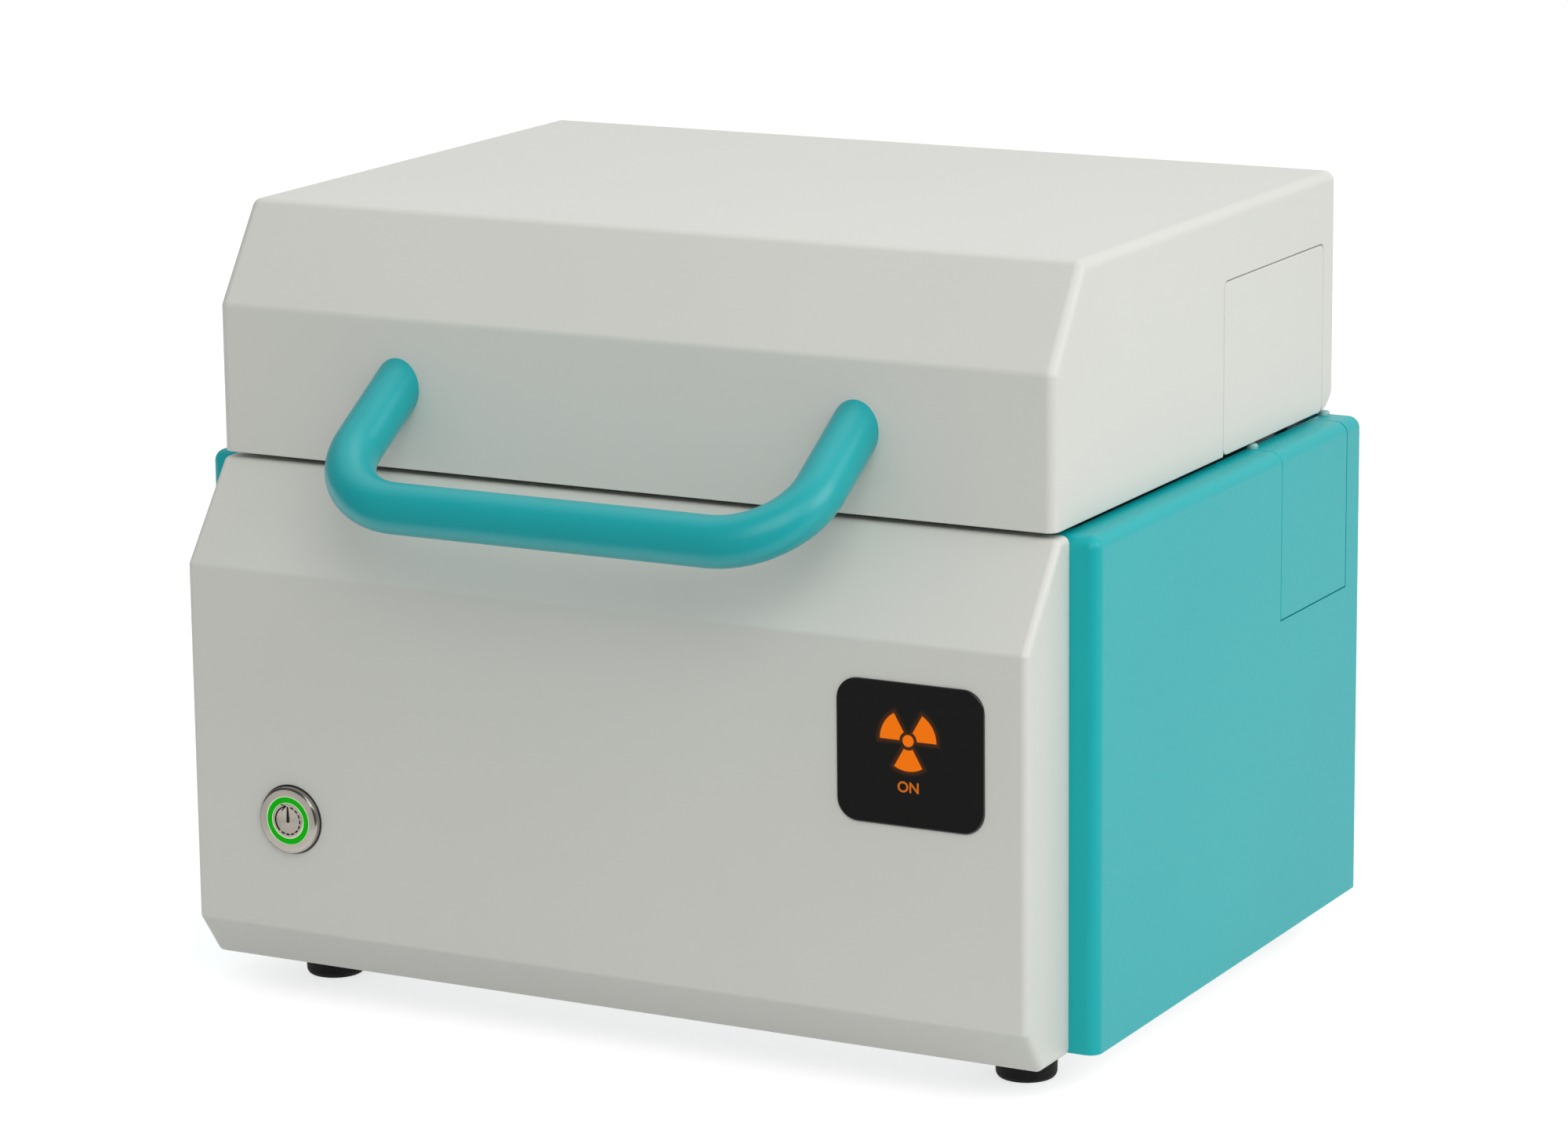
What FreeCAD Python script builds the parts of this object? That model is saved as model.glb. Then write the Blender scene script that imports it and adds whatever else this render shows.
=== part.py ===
import FreeCAD, Part
import Sketcher
import os
import re

# Portable bench-top x-ray fluorescence spectrometer, in millimetres.
# The frame has +X to the right, +Y to the rear and +Z up. Its origin lies on the
# floor, in the middle of the instrument seen from above, carry handle included.
V = FreeCAD.Vector
doc = FreeCAD.newDocument("Spectrometer")

# Driving dimensions, each written once
SIZES = {
    # Teal housing, with the white front fascia standing out of its front face
    "housing_width": 314.0,
    "housing_depth": 209.0,
    "housing_height": 160.4,
    "housing_wall": 3.0,
    "housing_edge": 4.0,
    "fascia_side_step": 9.3,
    "fascia_reach": 29.3,
    "fascia_drop": 1.0,
    "fascia_wall": 2.0,
    "fascia_edge": 2.5,
    "chin_run": 10.3,
    "chin_rise": 14.0,
    "brow_run": 23.0,
    "brow_rise": 30.6,
    "frame_border": 7.0,
    # Lid
    "lid_side_step": 10.3,
    "lid_depth": 217.0,
    "lid_height": 78.7,
    "lid_gap": 1.9,
    "lid_front_height": 47.7,
    "lid_slope_run": 20.9,
    "lid_wall": 2.5,
    "lid_edge": 3.5,
    "heel_radius": 13.5,
    # Rim and sunken deck under the lid
    "rim_side": 12.8,
    "rim_front": 8.0,
    "rim_rear": 4.0,
    "deck_thickness": 3.0,
    "deck_inset": 1.5,
    "base_thickness": 2.0,
    # Carry handle, a bent tube
    "tube_diameter": 16.0,
    "handle_span": 161.0,
    "arm_length": 52.8,
    "bend_radius": 26.1,
    "handle_tilt": 31.5,
    "handle_rise": 25.9,
    # Feet
    "foot_height": 14.0,
    "foot_diameter": 19.6,
    "foot_chamfer": 0.8,
    "foot_side_inset": 31.5,
    "front_foot_inset": 17.0,
    "rear_foot_inset": 25.0,
    # Flush covers over the hinge mechanism
    "cover_thickness": 1.5,
    "cover_seam": 0.35,
    "cover_corner": 2.5,
    "hinge_cover_depth": 55.0,
    "hinge_cover_inset": 13.7,
    "hinge_cover_height": 55.2,
    "hinge_cover_overlap": 12.0,
    "lid_cover_depth": 81.4,
    "lid_cover_inset": 10.6,
    "lid_cover_height": 56.0,
    "lid_cover_thickness": 1.2,
    # Lid hinge
    "bracket_thickness": 5.0,
    "bracket_width": 16.0,
    "bracket_eye": 20.0,
    "bracket_stand": 2.0,
    "bracket_drop": 26.0,
    "bracket_foot": 34.0,
    "pin_diameter": 8.0,
    "pin_clearance": 0.05,
    "arm_thickness": 3.2,
    "arm_eye": 20.0,
    "arm_reach": 84.0,
    "arm_rise": 40.0,
    "slot_clearance": 0.8,
    "running_gap": 0.3,
    # Shielded sample chamber in the lid
    "liner_wall": 1.5,
    "chamber_side_gap": 16.0,
    "chamber_depth": 150.0,
    "chamber_rear_inset": 37.0,
    "flange_border": 8.0,
    "flange_lift": 1.0,
    "gasket_width": 6.0,
    "magnet_length": 20.0,
    "magnet_thickness": 3.0,
    "magnet_inset": 12.0,
    "magnet_margin": 1.0,
    "sensor_length": 26.0,
    "sensor_width": 12.0,
    "sensor_height": 9.0,
    # Sample seat on the deck and the film window under it
    "seat_inset": 42.0,
    "seat_bore": 40.6,
    "seat_height": 8.0,
    "seat_wall": 10.7,
    "aperture_diameter": 24.0,
    "film_border": 4.0,
    "film_thickness": 0.3,
    # Measuring head under the deck
    "head_angle": 45.0,
    "head_reach": 58.0,
    "head_half": 17.0,
    "head_width": 60.0,
    "head_top_width": 68.0,
    "head_well_depth": 10.0,
    "tube_bore": 12.0,
    "xray_tube_diameter": 26.0,
    "xray_tube_length": 56.0,
    "mount_gap": 7.0,
    "mount_thickness": 3.0,
    "mount_width": 34.0,
    "mount_length": 74.0,
    "mount_post": 6.0,
    "wheel_diameter": 58.0,
    "wheel_thickness": 2.0,
    "wheel_offset": 23.0,
    "filter_diameter": 10.0,
    "filter_windows": 4.0,
    "shaft_diameter": 5.0,
    "motor_width": 20.0,
    "motor_length": 18.0,
    "detector_width": 22.0,
    "detector_length": 48.0,
    "detector_nose": 10.0,
    "detector_nose_length": 20.0,
    # Push button, 22 mm bezel
    "button_inset": 36.8,
    "button_drop": 80.0,
    "bezel_diameter": 22.0,
    "bezel_height": 2.2,
    "barrel_diameter": 18.8,
    "barrel_length": 24.0,
    "light_ring_outer": 15.4,
    "light_ring_inner": 11.7,
    "button_travel": 1.0,
    "ring_recess": 0.2,
    "cap_length": 9.0,
    # Indicator lamp
    "lamp_inset": 38.4,
    "lamp_drop": 34.1,
    "lamp_width": 49.1,
    "lamp_height": 44.4,
    "lamp_corner": 7.0,
    "lamp_proud": 0.8,
    "lamp_plug_border": 2.5,
    "lamp_box_depth": 16.0,
    "lamp_box_wall": 1.5,
    "lamp_board_thickness": 1.6,
    # Rear panel, fan and electronics
    "panel_inset": 19.0,
    "panel_width": 120.0,
    "panel_height": 50.0,
    "panel_lift": 8.0,
    "panel_thickness": 2.0,
    "panel_border": 6.0,
    "inlet_inset": 27.0,
    "inlet_width": 27.0,
    "inlet_height": 20.0,
    "inlet_depth": 18.0,
    "inlet_wall": 2.0,
    "inlet_pin_width": 2.0,
    "inlet_pin_height": 4.0,
    "inlet_pin_recess": 3.0,
    "switch_pitch": 31.0,
    "switch_width": 13.0,
    "switch_wall": 1.5,
    "rocker_depth": 3.75,
    "rocker_back": 1.5,
    "rocker_tip_reach": 5.6,
    "rocker_tip_height": 7.0,
    "rocker_tilt": 8.0,
    "usb_width": 13.2,
    "usb_height": 5.8,
    "network_width": 16.0,
    "network_height": 13.4,
    "port_pitch": 22.0,
    "port_depth": 16.0,
    "port_wall": 0.6,
    "fan_inset": 49.0,
    "fan_size": 60.0,
    "fan_depth": 15.0,
    "fan_lift": 42.0,
    "fan_bore": 57.0,
    "fan_hub": 24.0,
    "fan_spoke": 3.0,
    "fan_spoke_depth": 2.0,
    "fan_tip_gap": 0.8,
    "fan_wall_gap": 1.2,
    "fan_blade": 1.6,
    "fan_blade_pitch": 9.0,
    "fan_blades": 7.0,
    "vent_height": 3.0,
    "vent_rows": 8.0,
    "board_width": 62.0,
    "board_depth": 96.0,
    "board_thickness": 1.6,
    "board_margin": 4.0,
    "board_gap": 1.0,
    "board_post": 6.0,
    "supply_width": 92.0,
    "supply_depth": 74.0,
    "supply_height": 26.0,
    "supply_side_gap": 6.0,
    "supply_front_gap": 30.0,
    "generator_width": 46.0,
    "generator_depth": 84.0,
    "generator_height": 58.0,
    "generator_side_gap": 4.0,
    "generator_front_gap": 12.0,
    "bumper_diameter": 6.0,
    "bumper_gap": 0.2,
    "front_bumper_inset": 66.0,
    "rear_bumper_inset": 6.0,
    "overcut": 2.0,
}

# Places that follow from the driving dimensions
PLACES = {
    "back_y": "(lid_depth + arm_length * cos(handle_tilt) + tube_diameter / 2) / 2",
    "lid_front": "back_y - lid_depth",
    "housing_front": "back_y - housing_depth",
    "fascia_width": "housing_width - 2 * fascia_side_step",
    "lid_width": "housing_width - 2 * lid_side_step",
    "foot_span": "housing_width - 2 * foot_side_inset",
    "housing_bottom": "foot_height + fascia_drop",
    "housing_top": "housing_bottom + housing_height",
    "deck_top": "housing_top - housing_wall",
    "deck_bottom": "deck_top - deck_thickness",
    "base_top": "foot_height + base_thickness",
    "fascia_face": "housing_front - fascia_reach",
    "lid_bottom": "housing_top + lid_gap",
    "lid_top": "lid_bottom + lid_height",
    "hinge_y": "back_y - heel_radius",
    "hinge_z": "lid_bottom + heel_radius",
    "lid_inside": "lid_width / 2 - lid_wall",
    "arm_inside": "lid_inside - arm_thickness",
    "bracket_outside": "arm_inside - bracket_stand",
    "bracket_inside": "bracket_outside - bracket_thickness",
    "flange_bottom": "lid_bottom + flange_lift",
    "flange_side": "arm_inside - running_gap",
    "chamber_side": "arm_inside - chamber_side_gap",
    "gasket_side": "chamber_side + gasket_width",
    "chamber_rear": "back_y - chamber_rear_inset",
    "chamber_front": "chamber_rear - chamber_depth",
    "chamber_top": "lid_top - lid_wall - liner_wall",
    "magnet_y": "chamber_front + magnet_inset",
    "seat_y": "chamber_front + seat_inset",
    "spot_z": "deck_bottom - film_thickness",
    "face_top": "housing_top - brow_rise",
    "button_x": "button_inset - fascia_width / 2",
    "button_z": "face_top - button_drop",
    "lamp_x": "fascia_width / 2 - lamp_inset",
    "lamp_z": "face_top - lamp_drop",
    "panel_x": "panel_inset + panel_width / 2 - side_inside",
    "panel_z": "housing_bottom + panel_lift + panel_height / 2",
    "inlet_x": "panel_x + panel_width / 2 - inlet_inset",
    "switch_x": "inlet_x - switch_pitch",
    "usb_x": "switch_x - port_pitch",
    "network_x": "usb_x - port_pitch",
    "board_top": "panel_z - network_height / 2",
    "usb_z": "board_top + usb_height / 2",
    "fan_x": "side_inside - fan_inset - fan_size / 2",
    "fan_z": "housing_bottom + fan_lift + fan_size / 2",
    "vent_pitch": "(fan_bore - vent_height) / vent_rows",
    "rear_inside": "back_y - housing_wall",
    "side_inside": "housing_width / 2 - housing_wall",
}


def fill_sheet(name, rows):
    """Write one named cell per row and return the sheet."""
    sheet = doc.addObject("Spreadsheet::Sheet", name)
    for row, (alias, content) in enumerate(rows.items(), start=1):
        sheet.set(f"A{row}", alias)
        sheet.set(f"B{row}", content)
        sheet.setAlias(f"B{row}", alias)
    return sheet


def from_sheets(text, own_sheet=""):
    """Put the sheet's name before every named size or place in an expression."""
    def qualified(match):
        word = match.group()
        for sheet, rows in (("Sizes", SIZES), ("Places", PLACES)):
            if word in rows and sheet != own_sheet:
                return f"{sheet}.{word}"
        return word
    return re.sub(r"[a-z][a-z_]+", qualified, text)


sizes = fill_sheet("Sizes", {alias: str(number) for alias, number in SIZES.items()})
places = fill_sheet("Places", {alias: "=" + from_sheets(text, "Places") for alias, text in PLACES.items()})
doc.recompute()


def value(text):
    """Number that an expression of sizes and places gives."""
    return float(sizes.evalExpression(from_sheets(text)))


def bind(thing, **expressions):
    """Tie properties to expressions; two underscores stand for a dot."""
    for path, text in expressions.items():
        thing.setExpression(path.replace("__", "."), from_sheets(text))


def place(thing, at, turn=None):
    """Bind the base point of a solid and, where given, turn it about an axis."""
    if turn:
        thing.Placement = FreeCAD.Placement(V(), FreeCAD.Rotation(*turn))
    x, y, z = at
    bind(thing, Placement__Base__x=x, Placement__Base__y=y, Placement__Base__z=z)
    return thing


# Turns that lay the local Z axis along another axis
ALONG_X = (V(0, 1, 0), 90)
ALONG_Y = (V(1, 0, 0), -90)
ORIGIN = ("0", "0", "0")


# Basic solids
def box(name, x, y, z):
    """Block between two limits along each axis."""
    solid = doc.addObject("Part::Box", name)
    place(solid, (x[0], y[0], z[0]))
    bind(solid, Length=f"({x[1]}) - ({x[0]})")
    bind(solid, Width=f"({y[1]}) - ({y[0]})")
    bind(solid, Height=f"({z[1]}) - ({z[0]})")
    return solid


def cylinder(name, at, diameter, length, turn=None):
    """Round bar that starts at a point."""
    solid = doc.addObject("Part::Cylinder", name)
    place(solid, at, turn)
    bind(solid, Radius=f"({diameter}) / 2", Height=length)
    return solid


BOARD_POST_SIDES = 6
BUMPER_SIDES = 12


def regular_bar(name, sides, at, width, length):
    """Upright bar with regular sides that starts at a point, its width over the corners."""
    solid = doc.addObject("Part::Prism", name)
    solid.Polygon = sides
    place(solid, at)
    bind(solid, Circumradius=f"({width}) / 2", Height=length)
    return solid


def cut(name, base, *tools):
    """Base without the tools."""
    solid = base
    for number, tool in enumerate(tools, start=1):
        step = doc.addObject("Part::Cut", name if number == len(tools) else f"{name}_step_{number}")
        step.Base = solid
        step.Tool = tool
        solid = step
    return solid


def common(name, base, tool):
    """What two solids share."""
    solid = doc.addObject("Part::Common", name)
    solid.Base = base
    solid.Tool = tool
    return solid


def fuse(name, *shapes):
    """One solid from several that meet."""
    solid = doc.addObject("Part::MultiFuse", name)
    solid.Shapes = list(shapes)
    return solid


def group(name, *shapes):
    """Separate solids of one kind in one node."""
    solids = doc.addObject("Part::Compound", name)
    solids.Links = list(shapes)
    return solids


def mirrored(name, source):
    """Copy on the other side of the middle plane."""
    copy = doc.addObject("Part::Mirroring", name)
    copy.Source = source
    copy.Base = V(0, 0, 0)
    copy.Normal = V(1, 0, 0)
    return copy


# Sketched solids
SKETCH_PLANES = {"x": "YZ_Plane", "y": "XZ_Plane", "z": "XY_Plane"}


def sketch_on(body, name, across, points, offset="0"):
    """Closed polygon, each corner tied to its expressions, square to an axis."""
    sketch = body.newObject("Sketcher::SketchObject", name)
    plane = [item for item in body.Origin.OriginFeatures if item.Role == SKETCH_PLANES[across]][0]
    sketch.AttachmentSupport = [(plane, "")]
    sketch.MapMode = "FlatFace"
    bind(sketch, AttachmentOffset__Base__z=offset)
    corners = [V(value(first), value(second), 0) for first, second in points]
    for number, corner in enumerate(corners):
        sketch.addGeometry(Part.LineSegment(corner, corners[(number + 1) % len(corners)]), False)
    for number, corner in enumerate(corners):
        sketch.addConstraint(Sketcher.Constraint("Coincident", number, 2, (number + 1) % len(corners), 1))
    for number, (corner, texts) in enumerate(zip(corners, points)):
        for direction, number_now, text in zip(("DistanceX", "DistanceY"), (corner.x, corner.y), texts):
            tied = sketch.addConstraint(Sketcher.Constraint(direction, -1, 1, number, 1, number_now))
            sketch.setExpression(f"Constraints[{tied}]", from_sheets(text))
    return sketch


def prism(name, across, points, low, high):
    """Body from a polygon square to an axis, between two limits on that axis."""
    body = doc.addObject("PartDesign::Body", name)
    offset = f"-({high})" if across == "y" else low
    sketch = sketch_on(body, f"{name}_outline", across, points, offset)
    pad = body.newObject("PartDesign::Pad", f"{name}_pad")
    pad.Profile = sketch
    bind(pad, Length=f"({high}) - ({low})")
    return body


def turned(name, points, at=ORIGIN, turn=None):
    """Body of revolution about its own Z axis from corners of radius and height."""
    body = doc.addObject("PartDesign::Body", name)
    sketch = sketch_on(body, f"{name}_outline", "y", points)
    revolution = body.newObject("PartDesign::Revolution", f"{name}_turned")
    revolution.Profile = sketch
    revolution.ReferenceAxis = (sketch, ["V_Axis"])
    revolution.Angle = 360
    return place(body, at, turn)


def rectangle(first, second):
    """Four corners from the limits along two axes."""
    return [(first[0], second[0]), (first[1], second[0]), (first[1], second[1]), (first[0], second[1])]


def round_edges(body, name, radius, wanted):
    """Fillet the edges of the latest feature that a test picks."""
    doc.recompute()
    base = body.Tip
    picked = [f"Edge{number}" for number, edge in enumerate(base.Shape.Edges, start=1) if wanted(edge)]
    fillet = body.newObject("PartDesign::Fillet", name)
    fillet.Base = (base, picked)
    bind(fillet, Radius=radius)
    return body


def runs_along(edge, axis):
    """Whether an edge is straight and parallel to an axis."""
    span = V(edge.BoundBox.XLength, edge.BoundBox.YLength, edge.BoundBox.ZLength)
    return abs(getattr(span, axis) - edge.Length) < 1e-6


def plate(name, x, y, z, radius, across):
    """Block with the four edges along one axis rounded."""
    limits = {"x": x, "y": y, "z": z}
    low, high = limits.pop(across)
    body = prism(name, across, rectangle(*limits.values()), low, high)
    return round_edges(body, f"{name}_corners", radius, lambda edge: runs_along(edge, across))


def half(text):
    """Limits of a width that is centred on the middle plane."""
    return (f"-({text}) / 2", f"({text}) / 2")


def about(centre, width):
    """Limits of a width that is centred on a place."""
    return (f"({centre}) - ({width}) / 2", f"({centre}) + ({width}) / 2")


kept = {}


def keep(name, solid):
    """Mark a finished sub-part; its label names its file."""
    solid.Label = name
    kept[name] = solid
    return solid


# Teal housing
def housing_form(name, inset):
    """Rounded block of the housing, drawn in on every side but the bottom."""
    body = prism(
        name, "z",
        rectangle(
            (f"-housing_width / 2 + ({inset})", f"housing_width / 2 - ({inset})"),
            (f"housing_front + ({inset})", f"back_y - ({inset})")),
        "housing_bottom", f"housing_top - ({inset})")
    doc.recompute()
    floor = body.Shape.BoundBox.ZMin
    return round_edges(
        body, f"{name}_edges", f"housing_edge - ({inset})", lambda edge: edge.BoundBox.ZMax > floor + 1)


def rear_vents():
    """Rows of slots that fill the circle of the fan's bore."""
    slots = []
    for row in range(int(SIZES["vent_rows"])):
        off_centre = f"({row} - (vent_rows - 1) / 2) * vent_pitch"
        chord = f"sqrt(fan_bore * fan_bore - 4 * {off_centre} * {off_centre})"
        slots.append(box(
            f"vent_{row}", about("fan_x", chord), ("rear_inside - overcut", "back_y + overcut"),
            about(f"fan_z + {off_centre}", "vent_height")))
    return slots


def make_housing():
    """Housing shell, its flush hinge covers and the closed bottom."""
    outer = housing_form("housing_outer", "0")
    under_covers = housing_form("housing_under_covers", "cover_thickness")
    inner = box(
        "housing_inner", half("2 * side_inside"), ("housing_front + housing_wall", "rear_inside"),
        ("housing_bottom - overcut", "housing_top - housing_wall"))
    wall = cut("housing_wall_all_round", outer, inner)
    top_opening = plate(
        "top_opening", half("housing_width - 2 * rim_side"),
        ("housing_front + rim_front", "back_y - rim_rear"),
        ("housing_top - housing_wall - overcut", "housing_top + overcut"), "housing_edge", "z")
    front_opening = box(
        "front_opening", half("fascia_width - 2 * (fascia_wall + frame_border)"),
        ("housing_front - overcut", "housing_front + housing_wall + overcut"),
        ("housing_bottom + frame_border", "housing_top - frame_border - fascia_wall"))
    panel_opening = plate(
        "panel_opening", about("panel_x", "panel_width - 2 * panel_border"),
        ("rear_inside - overcut", "back_y + overcut"),
        about("panel_z", "panel_height - 2 * panel_border"), "cover_corner", "y")

    cover_rear = "(back_y - hinge_cover_inset)"
    cover_low = "(housing_top - hinge_cover_height)"

    def cover_region(name, seam):
        """Space over the flank and the rim that one hinge cover fills."""
        return box(
            name, (f"housing_width / 2 - hinge_cover_overlap + ({seam})", "housing_width / 2 + overcut"),
            (f"{cover_rear} - hinge_cover_depth + ({seam})", f"{cover_rear} - ({seam})"),
            (f"{cover_low} + ({seam})", "housing_top + overcut"))

    recess = cut("hinge_cover_recess", cover_region("hinge_cover_room", "0"), under_covers)
    recess_left = mirrored("hinge_cover_recess_left", recess)
    skin = cut("housing_skin", outer, under_covers)
    cover = common("hinge_cover_right", skin, cover_region("hinge_cover_limits", "cover_seam"))
    keep("hinge_cover_right", cover)
    keep("hinge_cover_left", mirrored("hinge_cover_left", cover))
    keep("rear_housing", cut(
        "rear_housing", wall, top_opening, front_opening, panel_opening, recess, recess_left,
        *rear_vents()))


def make_base_plate():
    """Bottom plate that closes the housing and carries the feet."""
    keep("base_plate", box(
        "base_plate", half("(side_inside - running_gap) * 2"),
        ("housing_front + housing_wall + running_gap", "rear_inside - running_gap"),
        ("foot_height", "base_top")))


def foot_places():
    """Centres of the four feet."""
    rows = ("housing_front + front_foot_inset", "back_y - rear_foot_inset")
    return [(f"{side} * foot_span / 2", y) for y in rows for side in (-1, 1)]


def make_feet():
    """Four round rubber feet under the bottom plate."""
    keep("rubber_feet", group("rubber_feet", *[
        turned(f"foot_{number}", [
            ("0", "0"),
            ("foot_diameter / 2 - foot_chamfer", "0"),
            ("foot_diameter / 2", "foot_chamfer"),
            ("foot_diameter / 2", "foot_height"),
            ("0", "foot_height"),
        ], (x, y, "0"))
        for number, (x, y) in enumerate(foot_places())]))


# White front fascia
def fascia_form(name, inset, rear):
    """Folded front profile from chin to brow, drawn in by an inset."""
    chin_angle = "atan(chin_run / chin_rise)"
    brow_angle = "atan(brow_run / brow_rise)"
    low = f"foot_height + ({inset})"
    top = f"housing_top - ({inset})"
    face = f"fascia_face + ({inset})"
    return prism(name, "x", [
        (rear, low),
        (f"fascia_face + chin_run + ({inset}) * tan((90 deg - {chin_angle}) / 2)", low),
        (face, f"foot_height + chin_rise + ({inset}) * tan({chin_angle} / 2)"),
        (face, f"housing_top - brow_rise - ({inset}) * tan({brow_angle} / 2)"),
        (f"fascia_face + brow_run + ({inset}) * tan((90 deg - {brow_angle}) / 2)", top),
        (rear, top),
    ], f"-fascia_width / 2 + ({inset})", f"fascia_width / 2 - ({inset})")


def make_fascia():
    """Open-backed front shell with cut-outs for the button and the lamp."""
    outer = fascia_form("fascia_outer", "0", "housing_front")
    doc.recompute()
    back = outer.Shape.BoundBox.YMax
    round_edges(outer, "fascia_edges", "fascia_edge", lambda edge: edge.BoundBox.YMin < back - 1)
    inner = fascia_form("fascia_inner", "fascia_wall", "housing_front + overcut")
    through = ("fascia_face - overcut", "fascia_face + fascia_wall + overcut")
    button_hole = cylinder(
        "button_hole", ("button_x", through[0], "button_z"), "barrel_diameter",
        "fascia_wall + 2 * overcut", ALONG_Y)
    lamp_opening = box(
        "lamp_opening", about("lamp_x", "lamp_width - 2 * lamp_plug_border"), through,
        about("lamp_z", "lamp_height - 2 * lamp_plug_border"))
    keep("front_fascia", cut("front_fascia", outer, inner, button_hole, lamp_opening))


def make_button():
    """Sprung metal push button with a lit ring round its cap."""
    at = ("button_x", "fascia_face", "button_z")
    front = "-bezel_height"
    cavity = f"{front} + cap_length + button_travel * 2"
    keep("button_bezel", turned("button_bezel", [
        ("light_ring_outer / 2", front),
        ("bezel_diameter / 2", front),
        ("bezel_diameter / 2", "0"),
        ("barrel_diameter / 2", "0"),
        ("barrel_diameter / 2", "barrel_length"),
        ("0", "barrel_length"),
        ("0", cavity),
        ("light_ring_outer / 2", cavity),
    ], at, ALONG_Y))
    keep("button_light_ring", turned("button_light_ring", [
        ("light_ring_inner / 2 + pin_clearance", f"{front} + ring_recess"),
        ("light_ring_outer / 2", f"{front} + ring_recess"),
        ("light_ring_outer / 2", f"{front} + cap_length"),
        ("light_ring_inner / 2 + pin_clearance", f"{front} + cap_length"),
    ], at, ALONG_Y))
    keep("button_cap", cylinder(
        "button_cap", (at[0], "fascia_face - bezel_height", at[2]), "light_ring_inner", "cap_length",
        ALONG_Y))


def make_lamp():
    """Glossy lamp window with a light box and its board behind it."""
    inner = ("lamp_width - 2 * lamp_plug_border - 2 * cover_seam",
             "lamp_height - 2 * lamp_plug_border - 2 * cover_seam")
    front = plate(
        "lamp_window_front", about("lamp_x", "lamp_width"), ("fascia_face - lamp_proud", "fascia_face"),
        about("lamp_z", "lamp_height"), "lamp_corner", "y")
    plug = box(
        "lamp_window_plug", about("lamp_x", inner[0]), ("fascia_face", "fascia_face + fascia_wall"),
        about("lamp_z", inner[1]))
    keep("lamp_window", fuse("lamp_window", front, plug))
    start = "fascia_face + fascia_wall"
    end = f"{start} + lamp_box_depth"
    blank = box(
        "lamp_box_blank", about("lamp_x", "lamp_width"), (start, end), about("lamp_z", "lamp_height"))
    hollow = box(
        "lamp_box_hollow", about("lamp_x", "lamp_width - 2 * lamp_box_wall"),
        (f"{start} - overcut", f"{end} - lamp_box_wall"),
        about("lamp_z", "lamp_height - 2 * lamp_box_wall"))
    keep("lamp_housing", cut("lamp_housing", blank, hollow))
    keep("lamp_board", box(
        "lamp_board", about("lamp_x", "lamp_width - 2 * (lamp_box_wall + cover_seam)"),
        (f"{end} - lamp_box_wall - lamp_board_thickness", f"{end} - lamp_box_wall"),
        about("lamp_z", "lamp_height - 2 * (lamp_box_wall + cover_seam)")))


# Deck, sample seat and measuring head
def make_deck():
    """Steel deck plate under the rim, with the sample hole and hinge slots."""
    blank = box(
        "deck_blank", half("(side_inside - deck_inset) * 2"),
        ("housing_front + housing_wall + deck_inset", "rear_inside - deck_inset / 2"),
        ("deck_bottom", "deck_top"))
    through = ("deck_bottom - overcut", "deck_top + overcut")
    hole = cylinder(
        "sample_hole", ("0", "seat_y", through[0]), "aperture_diameter", "deck_thickness + 2 * overcut")
    slot = box(
        "bracket_slot", ("bracket_inside - slot_clearance", "bracket_outside + slot_clearance"),
        ("hinge_y - bracket_width / 2 - slot_clearance", "hinge_y + bracket_width / 2 + slot_clearance"),
        through)
    keep("deck_plate", cut("deck_plate", blank, hole, slot, mirrored("bracket_slot_left", slot)))


def make_seat():
    """Ring that centres a sample cup on the deck, over the film window."""
    keep("sample_seat", turned("sample_seat", [
        ("seat_bore / 2", "deck_top"),
        ("seat_bore / 2 + seat_wall", "deck_top"),
        ("seat_bore / 2 + seat_wall", "deck_top + seat_height"),
        ("seat_bore / 2", "deck_top + seat_height"),
    ], ("0", "seat_y", "0")))
    film_width = "aperture_diameter + 2 * film_border"
    keep("window_film", box(
        "window_film", half(film_width), about("seat_y", film_width), ("spot_z", "deck_bottom")))


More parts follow.
